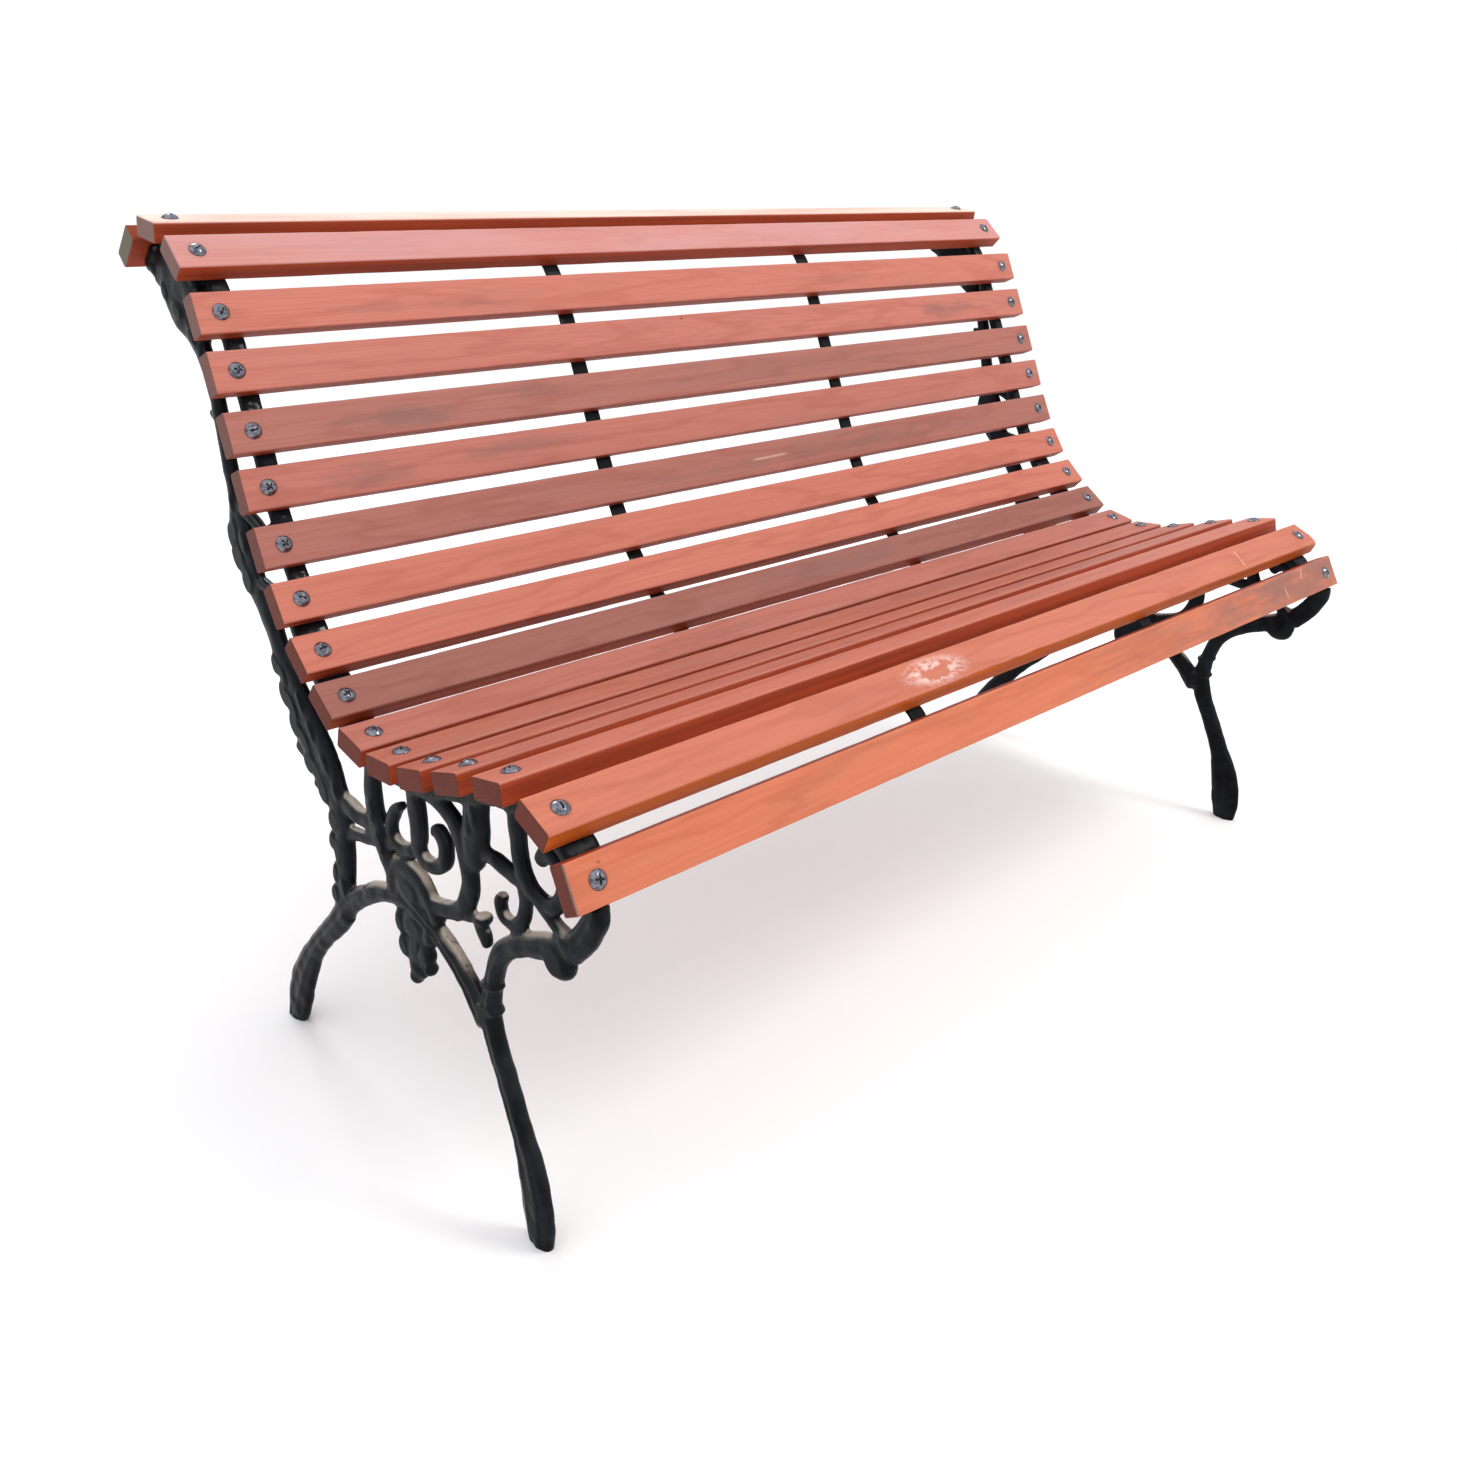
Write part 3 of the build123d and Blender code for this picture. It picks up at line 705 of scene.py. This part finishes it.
class BENCH_OT_bolts(bpy.types.Operator):
    """Makes the domed bolts of both ends, each turned its own way"""
    bl_idname = "bench.bolts"
    bl_label = "Bolts"

    def execute(self, context):
        sizes = context.scene.bench_fasteners
        slats = context.scene.bench_slats
        inset = context.scene.bench_castings.inset
        steel = bright_steel(sizes)
        draw = np.random.default_rng(42)
        for hand, side in (("left", -1), ("right", 1)):
            parts = []
            masks = []
            for index in range(SLAT_COUNT):
                turn = draw.uniform(0, pi)
                points, faces, mask = bolt_shape(sizes, index in SLOTTED_SLATS, turn,
                                                 slats.thick + 0.011)
                x = side * (slats.length / 2 - inset) + points[:, 0]
                placed = seat_points(index, x, points[:, 1], slats.thick + points[:, 2], slats)
                parts.append((placed, faces))
                masks.append(mask)
            points, faces = merge(parts)
            made = make_object(f"{hand}_bolts", points, outward(points, faces))
            give_attribute(made, "recess", "FLOAT", np.concatenate(masks))
            made.data.materials.append(steel)
            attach(made, "root")
            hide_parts(f"{hand}_frame_bolts")
        return {"FINISHED"}


class BENCH_OT_straps(bpy.types.Operator):
    """Makes the two flat iron straps behind the slats and paints their screws"""
    bl_idname = "bench.straps"
    bl_label = "Straps"

    def execute(self, context):
        sizes = context.scene.bench_straps
        slats = context.scene.bench_slats
        line = resting_line(slats.width, slats.thick)
        iron = painted_iron(context.scene.bench_castings, "painted_strap")
        steel = bright_steel(context.scene.bench_fasteners, "screw_steel", False)
        for hand, side in (("left", -1), ("right", 1)):
            points, faces = flat_bar_shape(line, side * sizes.spacing / 2, sizes.width / 2,
                                           sizes.thick / 2 - 0.0001, sizes.thick / 2 + 0.0001, 9.0)
            made = make_object(f"{hand}_flat_strap", points, faces)
            made.data.materials.append(iron)
            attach(made, "root")
            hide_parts(f"{hand}_strap")
            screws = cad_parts[f"{hand}_strap_screws"]
            screws.data.materials.clear()
            screws.data.materials.append(steel)
        return {"FINISHED"}


# ---- materials -----------------------------------------------------------------------------
class Signal:
    """A node's number output. Python arithmetic on it adds Math nodes."""

    def __init__(self, finish, socket):
        self.finish = finish
        self.socket = socket

    def math(self, operation, *others, first=None):
        values = (self, *others) if first is None else (first, self)
        node = self.finish.add("ShaderNodeMath", {"operation": operation}, dict(enumerate(values)))
        return Signal(self.finish, node.outputs[0])

    def __add__(self, other):
        return self.math("ADD", other)

    def __sub__(self, other):
        return self.math("SUBTRACT", other)

    def __rsub__(self, other):
        return self.math("SUBTRACT", first=other)

    def __mul__(self, other):
        return self.math("MULTIPLY", other)

    def __pow__(self, other):
        return self.math("POWER", other)

    def __abs__(self):
        return self.math("ABSOLUTE")

    __radd__ = __add__
    __rmul__ = __mul__


class Nodes:
    """The nodes of a material or a world, made from nothing."""

    def __init__(self, owner):
        owner.use_nodes = True
        self.tree = owner.node_tree
        self.tree.nodes.clear()

    def add(self, kind, settings=None, sockets=None):
        """Adds a node: its settings first, then the values or links of its sockets."""
        node = self.tree.nodes.new(kind)
        for name, value in (settings or {}).items():
            if name == "stops":
                ramp = node.color_ramp
                while len(ramp.elements) < len(value):
                    ramp.elements.new(0.5)
                for element, (place, colour) in zip(ramp.elements, value):
                    element.position = place
                    element.color = (*colour, 1)
            else:
                setattr(node, name, value)
        for name, value in (sockets or {}).items():
            socket = node.inputs[name]
            if isinstance(value, Signal):
                value = value.socket
            if isinstance(value, bpy.types.NodeSocket):
                self.tree.links.new(value, socket)
            elif socket.type == "RGBA":
                socket.default_value = (*value, 1)
            else:
                socket.default_value = value
        return node


class Finish(Nodes):
    """A material being made."""

    def __init__(self, name):
        self.material = bpy.data.materials.new(name)
        super().__init__(self.material)

    def place(self):
        return self.add("ShaderNodeTexCoord").outputs["Object"]

    def noise(self, place, size, stretch=(1, 1, 1), offset=(0, 0, 0), detail=3.0, rough=0.55):
        """Uneven number about 0.5 whose patches are about the size in metres."""
        scaled = self.add("ShaderNodeMapping", None, {
            "Vector": place, "Location": offset, "Scale": tuple(s / size for s in stretch)})
        made = self.add("ShaderNodeTexNoise", None, {
            "Vector": scaled.outputs[0], "Scale": 1.0, "Detail": detail, "Roughness": rough})
        return Signal(self, made.outputs[0])

    def step(self, value, low, high, smallest=0.0, largest=1.0):
        """Rises smoothly from smallest to largest as the value goes from low to high."""
        made = self.add("ShaderNodeMapRange", {"interpolation_type": "SMOOTHSTEP"}, {
            "Value": value, "From Min": low, "From Max": high,
            "To Min": smallest, "To Max": largest})
        return Signal(self, made.outputs[0])

    def mix(self, share, a, b):
        """The colour that is a for share 0 and b for share 1."""
        made = self.add("ShaderNodeMix", {"data_type": "RGBA"}, {"Factor": share, 6: a, 7: b})
        return made.outputs[2]

    def surface(self, sockets, bump, strength, distance):
        """Ends the material: the bump feeds Normal."""
        bumped = self.add("ShaderNodeBump", None, {
            "Height": bump, "Strength": strength, "Distance": distance})
        shader = self.add("ShaderNodeBsdfPrincipled", None,
                          {**sockets, "Normal": bumped.outputs[0]})
        self.add("ShaderNodeOutputMaterial", None, {"Surface": shader.outputs[0]})
        return self.material


# Linear colours of wear and marks, and of painted light: bounce light on slat 17's edges, sunlight
# on slat 2, a sky reflection on slat 3 and a sun highlight on the iron's tops
SMOKE = (0.190, 0.105, 0.092)
PAINTED_BOUNCE_LIGHT_EDGE = (0.520, 0.105, 0.014)  # deep stain of the slat at the front edge of the seat, made brighter as painted bounce light
FRESH_END = ((0.150, 0.036, 0.024), (0.250, 0.150, 0.135))  # on the seat, at the top of the back
OLD_END = ((0.060, 0.016, 0.012), (0.130, 0.075, 0.066))
GREY_END = ((0.150, 0.130, 0.095), (0.085, 0.070, 0.052))
SCUFFED_END = (0.55, 0.42, 0.34)
LIME_STAIN = (0.80, 0.66, 0.62)
BARE_WOOD = (0.85, 0.76, 0.66)
SCRATCHED = (0.80, 0.62, 0.52)
# slat 2's top: whitened by the sun, and paler still as painted sunlight
BLEACHED_AND_PAINTED_SUNLIGHT = (0.88, 0.70, 0.60)
# pale pink painted reflection of the sky on slat 3
PAINTED_SKY_REFLECTION = (0.66, 0.40, 0.41)
DARK_SPECK = (0.10, 0.045, 0.035)
DULL_PAINT = (0.0095, 0.0110, 0.0150)
# pale beige on the iron's tops, partly dusty paint and partly a painted sun highlight
DUST_AND_SUN_HIGHLIGHT = (0.520, 0.450, 0.370)
BARE_IRON = (0.070, 0.062, 0.055)
DARK_RECESS = (0.030, 0.028, 0.030)
RING_SPACING = 0.0031  # between growth rings, in metres


def blend_colours(a, b, share):
    return tuple(float(p + (q - p) * share) for p, q in zip(a, b))


def scale_colour(colour, *factors):
    """The colour times one factor, or times one for each part of it, and never above 1."""
    return tuple(min(1.0, float(c * k)) for c, k in zip(colour, factors * (3 // len(factors))))


def stained_wood(index, sizes):
    """Stained softwood: growth rings about the heart of the tree, fine fibres along the slat,
    weathered grey patches, edges that keep their deep stain and are darkened as painted shade,
    worn arrises and browner end grain."""
    grey, orange, light, heart_v, heart_w, climb = SLAT_LOOKS[index]
    finish = Finish(f"stained_wood_{index + 1:02d}")
    board = finish.add("ShaderNodeAttribute", {"attribute_name": "board"}).outputs["Vector"]
    split = finish.add("ShaderNodeSeparateXYZ", None, {0: board})
    x, v, w = (Signal(finish, output) for output in split.outputs)
    shift = (index * 3.7, index * 1.3, index * 2.1)

    # growth rings: the sine of the distance from the heart, which wanders along the slat
    wander = finish.noise(board, 0.030, (0.06, 1, 1), shift, 2.0)
    across = v + heart_v * MM + (wander - 0.5) * 0.012
    depth = w * -1.0 + heart_w * MM + x * climb * 3.0 + (wander - 0.5) * 0.010
    radius = (across * across + depth * depth) ** 0.5
    late = finish.step((radius * (2 * pi / RING_SPACING)).math("SINE"), 0.25, 1.0)
    fibre = finish.noise(board, 0.0011, (0.010, 1, 1), shift, 4.0, 0.6)
    streak = finish.noise(board, 0.0075, (0.018, 1, 1), shift, 3.0)
    cloud = finish.noise(board, 0.060, (0.25, 1.2, 1), shift, 4.0, 0.6)

    main = blend_colours(sizes.stain, sizes.orange, orange)
    main = scale_colour(blend_colours(main, sizes.grey, grey * 0.75), light)
    dark = scale_colour(main, 0.74, 0.60, 0.55)
    pale = scale_colour(main, 1.16, 1.30, 1.30)
    colour = finish.mix(late * 0.24 * finish.step(streak, 0.3, 0.7, 0.5, 1.0), main, dark)
    colour = finish.mix(finish.step(streak, 0.50, 0.78) * 0.35, colour, pale)
    colour = finish.mix(finish.step(fibre, 0.36, 0.62, 0.22, 0.0), colour, dark)
    weathered = finish.step(cloud, 0.50, 0.74) * (0.22 + 0.45 * grey)
    colour = finish.mix(weathered, colour, sizes.grey)
    figure = finish.noise(board, 0.090, (0.30, 2.2, 1), (index * 5.1, 2, 3), 3.0, 0.5)
    colour = finish.mix(finish.step(abs(figure - 0.5), 0.0, 0.05, 0.38, 0.0), colour, dark)
    colour = smudges(finish, index, x, v, board, colour, shift, streak)

    # the edges and the back keep their deep stain, which is also darker there as painted shade
    face = finish.step(w + (fibre - 0.5) * 0.0016, 0.0076, 0.0092)
    # on slat 17 the sides and back are a brighter orange: painted bounce light
    deep = PAINTED_BOUNCE_LIGHT_EDGE if index + 1 == CHIPPED_SLAT else tuple(sizes.deep)
    unfaded_and_painted_shade = finish.mix(finish.step(streak, 0.35, 0.70) * 0.7, deep, scale_colour(deep, 0.55))
    colour = finish.mix(face, unfaded_and_painted_shade, colour)
    reach = abs(v) * (2 / sizes.width) + abs(w) * (2 / sizes.thick)
    wear = finish.step(reach, 1.86, 1.97) * finish.step(cloud, 0.42, 0.62)
    colour = finish.mix(wear * 0.30, colour, scale_colour(main, 1.2, 1.5, 1.6))

    half = sizes.length / 2
    end = finish.step(abs(x), half - 0.0010, half - 0.0002)
    colour = finish.mix(end, colour, end_grain(finish, index, x, w, late, cloud, fibre, half))
    colour = special_marks(finish, index, x, v, w, board, colour, cloud, fibre)
    rough = 0.46 + fibre * 0.16 + weathered * 0.15 + end * 0.2
    height = fibre * 0.7 + late * 0.25 + cloud * 0.1
    return finish.surface({"Base Color": colour, "Roughness": rough, "Specular IOR Level": 0.17},
                          height, 0.35, 0.0006)


def smudges(finish, index, x, v, board, colour, shift, streak):
    """Smoky patches: ovals whose outlines are broken up by noise."""
    noise = finish.noise(board, 0.022, (0.35, 1, 1), shift, 5.0, 0.65)
    for slat, place, side, length, width, strength in SMUDGES:
        if slat == index + 1:
            near = ((x - place * MM) * (2 / length / MM)) ** 2.0 \
                + ((v - side * MM) * (2 / width / MM)) ** 2.0
            ragged = near + (noise - 0.5) * 5.0 + (streak - 0.5) * 2.5
            colour = finish.mix(finish.step(ragged, 1.6, -0.4) * strength, colour, SMOKE)
    return colour


def end_grain(finish, index, x, w, late, cloud, fibre, half):
    """Colour of the sawn ends: paler up the back, grey on the first slat, scuffed on the last."""
    if index == 0:
        return finish.mix(late * 0.5, *GREY_END)
    high = max(0.0, 1.0 - index / BACK_SLATS)
    colour = finish.mix(late * 0.3 + cloud * 0.5, blend_colours(*FRESH_END, high),
                        blend_colours(*OLD_END, high))
    if index + 1 == SLAT_COUNT:
        scuffed = finish.step(x, 0.0, -half) \
            * finish.step(w + (fibre - 0.5) * 0.012, 0.0066, 0.0108)
        colour = finish.mix(scuffed * 0.45, colour, SCUFFED_END)
    return colour


def special_marks(finish, index, x, v, w, board, colour, cloud, fibre):
    """The marks that single slats have: a pale ring, a chipped corner, a top whitened by the sun
    and by painted sunlight, a painted sky reflection, scratches and specks.
    """
    top = finish.step(w, 0.0085, 0.0100)
    if index + 1 == CHIPPED_SLAT:
        blot = finish.noise(board, 0.011, (0.6, 1, 1), (2, 5, 1), 5.0, 0.65)
        away = (((x + 0.170) * 22.0) ** 2.0 + ((v - 0.001) * 58.0) ** 2.0) ** 0.5
        ring = finish.step(abs(away + (blot - 0.5) * 2.4 - 0.8), 0.45, 0.05)
        stain = ring * finish.step(away, 1.7, 1.0) * finish.step(blot, 0.40, 0.62) * top
        colour = finish.mix(stain * 0.60, colour, LIME_STAIN)
        corner = finish.step(x + cloud * 0.004, 0.6455, 0.6500) \
            * finish.step(v, 0.006, 0.014) * finish.step(w, 0.002, 0.008)
        colour = finish.mix(corner * 0.8, colour, BARE_WOOD)
    if index == 1:
        # slat 2's top: whitened by the sun, and paler still as painted sunlight
        bleached_and_painted_sunlight = top * finish.step(cloud, 0.25, 0.60, 0.45, 0.75)
        colour = finish.mix(bleached_and_painted_sunlight, colour, BLEACHED_AND_PAINTED_SUNLIGHT)
    if index == 2:
        # slat 3's top: a pale pink painted reflection of the sky
        painted_sky_reflection = top * finish.step(cloud, 0.25, 0.70, 0.20, 0.42)
        colour = finish.mix(painted_sky_reflection, colour, PAINTED_SKY_REFLECTION)
    for slat, start, end in SCRATCHES:
        if slat == index + 1:
            run = np.array(end) - start
            half = float(np.linalg.norm(run)) / 2
            c, d = (float(value) for value in run / (2 * half))
            far_x = x - (start[0] + end[0]) / 2
            far_v = v - (start[1] + end[1]) / 2
            beside = abs(far_v * c - far_x * d) + (fibre - 0.5) * 0.003
            beyond = abs(far_x * c + far_v * d)
            scratch = finish.step(beside, 0.0024, 0.0002) \
                * finish.step(beyond, half * 1.15, half * 0.6) * top
            colour = finish.mix(scratch * 0.34, colour, SCRATCHED)
    for slat, place, side, size in SPECKS:
        if slat == index + 1:
            away = (((x - place) * 0.7) ** 2.0 + (v - side) ** 2.0) ** 0.5
            speck = finish.step(away + (fibre - 0.5) * 0.003, size, size * 0.5) * top
            colour = finish.mix(speck * 0.45, colour, DARK_SPECK)
    return colour


def painted_iron(sizes, name="painted_iron"):
    """Semi-gloss black paint on sand-cast iron: a pebbled surface, dull patches, worn high spots,
    gloss on what faces up, and a pale beige on the tops of the arch, rails and scrolls that is
    partly dusty paint and partly a painted sun highlight."""
    finish = Finish(name)
    place = finish.place()
    pebble = finish.noise(place, 0.0030, detail=4.0, rough=0.6)
    patch = finish.noise(place, 0.040, offset=(3, 1, 2), detail=4.0)
    speck = finish.noise(place, 0.0060, offset=(5, 7, 1), detail=5.0, rough=0.7)
    normal = finish.add("ShaderNodeNewGeometry").outputs["Normal"]
    up = Signal(finish, finish.add("ShaderNodeSeparateXYZ", None, {0: normal}).outputs[2])
    height = Signal(finish, finish.add("ShaderNodeSeparateXYZ", None, {0: place}).outputs[2])
    # height band of the arch top and the rails, where the pale beige and its painted sun highlight
    # go
    dust_and_highlight_band = finish.step(height, 0.350, 0.330) * finish.step(height, 0.224, 0.246)
    off_the_seat = finish.step(abs(height - 0.395), 0.030, 0.050)

    colour = finish.mix(finish.step(patch, 0.35, 0.7), tuple(sizes.paint), DULL_PAINT)
    # pale beige on what faces up: partly dusty paint, partly a painted sun highlight
    dust_and_sun_highlight = finish.step(up, 0.45, 0.86) * finish.step(speck + patch * 0.9, 0.62, 0.92) \
        * dust_and_highlight_band
    colour = finish.mix(dust_and_sun_highlight * 0.85, colour, DUST_AND_SUN_HIGHLIGHT)
    colour = finish.mix(finish.step(speck, 0.70, 0.80) * 0.25, colour, BARE_IRON)
    rough = 0.18 + patch * 0.20 + dust_and_sun_highlight * 0.25 + pebble * 0.08
    gloss = finish.step(up, 0.14, 0.80, 0.0, 0.60) * finish.step(patch, 0.75, 0.35, 0.5, 1.0) \
        * off_the_seat
    return finish.surface({"Base Color": colour, "Roughness": rough, "Specular IOR Level": 0.06,
                           "Coat Weight": gloss, "Coat Roughness": 0.08},
                          pebble * 0.6 + speck * 0.4, 0.25, 0.0006)


def bright_steel(sizes, name="zinc_steel", recessed=True):
    """Dulled zinc on steel: fine scratches and blotches, dark in the recess."""
    finish = Finish(name)
    place = finish.place()
    blotch = finish.noise(place, 0.0040, detail=4.0, rough=0.6)
    grain = finish.noise(place, 0.0008, detail=3.0)
    colour = finish.mix(finish.step(blotch, 0.35, 0.68), tuple(sizes.steel),
                        scale_colour(sizes.steel, 0.40))
    if recessed:
        recess = finish.add("ShaderNodeAttribute", {"attribute_name": "recess"}).outputs["Fac"]
        # near black inside the slot and cross
        colour = finish.mix(recess, colour, DARK_RECESS)
    rough = 0.08 + blotch * 0.18
    return finish.surface({"Base Color": colour, "Roughness": rough, "Metallic": 0.92},
                          grain * 0.5 + blotch * 0.5, 0.12, 0.0003)


# ---- stage ---------------------------------------------------------------------------------
# Soft lights: name, place, aim, size, watts and colour
LIGHTS = (
    ("key", (1.4, -2.4, 3.4), (0, 0, 0.4), 1.1, 58, (1.0, 0.97, 0.93)),
    ("fill", (-3.0, -2.2, 2.0), (0, 0, 0.4), 3.0, 8, (0.92, 0.96, 1.0)),
    ("rim", (0.0, 2.6, 3.0), (0, 0, 0.5), 1.2, 30, (1.0, 1.0, 1.0)),
)
# Tone of the studio's surroundings by height: pale low down, a greyer belt, a bright ceiling
SKY_BANDS = ((0.00, 0.75), (0.40, 0.75), (0.48, 0.42), (0.60, 0.42), (0.68, 1.00), (1.00, 1.00))
SKY_STRENGTH = 1.36
FLOOR_REACH = 30  # metres from the middle, on a square grid
FLOOR_LINES = 25
CAMERA_PLACE = (-1.17546, -1.07691, 0.90625)
CAMERA_RIGHT = (0.72669823, -0.68677323, 0.01588147)
CAMERA_DOWN = (-0.20876944, -0.24281314, -0.94734212)
CAMERA_FORWARD = (0.65446543, 0.68511628, -0.31982915)
LENS = {"sensor_width": 36.0, "lens": 33.296, "shift_x": 0.00151, "shift_y": -0.07166,
        "clip_start": 0.05, "clip_end": 200.0}


def area_light(name, place, aim, size, watts, colour):
    """A square soft light that faces the aim."""
    data = bpy.data.lights.new(name, "AREA")
    data.size = size
    data.energy = watts
    data.color = colour
    light = bpy.data.objects.new(name, data)
    light.rotation_euler = (Vector(aim) - Vector(place)).to_track_quat("-Z", "Y").to_euler()
    light.location = place
    bpy.context.scene.collection.objects.link(light)


class BENCH_OT_stage(bpy.types.Operator):
    """Makes the floor, the lights and the camera"""
    bl_idname = "bench.stage"
    bl_label = "Stage"

    def execute(self, context):
        far = np.linspace(-FLOOR_REACH, FLOOR_REACH, FLOOR_LINES)
        y, x = np.meshgrid(far, far)
        grid = np.stack((x, y, np.full_like(x, -0.0002)), -1).reshape(-1, 3)
        i = np.arange(FLOOR_LINES - 1)
        i = (i[:, None] * FLOOR_LINES + i).ravel()
        faces = np.stack((i, i + FLOOR_LINES, i + FLOOR_LINES + 1, i + 1), -1).tolist()
        floor = make_object("floor", grid, faces)
        paint = Finish("pale_floor")
        mottle = paint.noise(paint.place(), 0.8, detail=3.0)
        tone = paint.mix(mottle, (0.88, 0.88, 0.88), (0.92, 0.92, 0.92))
        floor.data.materials.append(paint.surface({"Base Color": tone, "Roughness": 0.9},
                                                  mottle, 0.05, 0.001))

        world = bpy.data.worlds.new("studio")
        sky = Nodes(world)
        direction = sky.add("ShaderNodeTexCoord").outputs["Generated"]
        height = sky.add("ShaderNodeSeparateXYZ", None, {0: direction}).outputs[2]
        stops = [(place, (tone, tone * 1.01, tone * 1.03)) for place, tone in SKY_BANDS]
        bands = sky.add("ShaderNodeValToRGB", {"stops": stops}, {0: height}).outputs[0]
        glow = sky.add("ShaderNodeBackground", None, {0: bands, 1: SKY_STRENGTH}).outputs[0]
        sky.add("ShaderNodeOutputWorld", None, {"Surface": glow})
        context.scene.world = world
        context.scene.view_settings.view_transform = "Standard"
        for light in LIGHTS:
            area_light(*light)

        data = bpy.data.cameras.new("camera")
        for setting, value in LENS.items():
            setattr(data, setting, value)
        camera = bpy.data.objects.new("camera", data)
        rows = [(right, -down, -forward, place) for right, down, forward, place in
                zip(CAMERA_RIGHT, CAMERA_DOWN, CAMERA_FORWARD, CAMERA_PLACE)]
        camera.matrix_world = Matrix(rows + [(0, 0, 0, 1)])
        context.scene.collection.objects.link(camera)
        context.scene.camera = camera
        return {"FINISHED"}


class BENCH_PT_panel(bpy.types.Panel):
    """Lists the bench's pieces"""
    bl_idname = "BENCH_PT_panel"
    bl_label = "Bench"
    bl_space_type = "VIEW_3D"
    bl_region_type = "UI"
    bl_category = "Bench"

    def draw(self, context):
        for operator, group in PIECES:
            self.layout.operator(operator.bl_idname)
            if group:
                settings = getattr(context.scene, group)
                for name in settings.__annotations__:
                    self.layout.prop(settings, name)


PIECES = (
    (BENCH_OT_slats, "bench_slats"),
    (BENCH_OT_castings, "bench_castings"),
    (BENCH_OT_bolts, "bench_fasteners"),
    (BENCH_OT_straps, "bench_straps"),
    (BENCH_OT_stage, None),
)
GROUPS = {
    "bench_slats": SlatSizes,
    "bench_castings": CastingSizes,
    "bench_fasteners": FastenerSizes,
    "bench_straps": StrapSizes,
}


def register():
    for name, group in GROUPS.items():
        bpy.utils.register_class(group)
        setattr(bpy.types.Scene, name, PointerProperty(type=group))
    for operator, _ in PIECES:
        bpy.utils.register_class(operator)
    bpy.utils.register_class(BENCH_PT_panel)


def unregister():
    bpy.utils.unregister_class(BENCH_PT_panel)
    for operator, _ in PIECES:
        bpy.utils.unregister_class(operator)
    for name, group in GROUPS.items():
        delattr(bpy.types.Scene, name)
        bpy.utils.unregister_class(group)


def main():
    register()
    for operator, _ in PIECES:
        area, name = operator.bl_idname.split(".")
        getattr(getattr(bpy.ops, area), name)()
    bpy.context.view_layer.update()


if __name__ == "__main__":
    main()
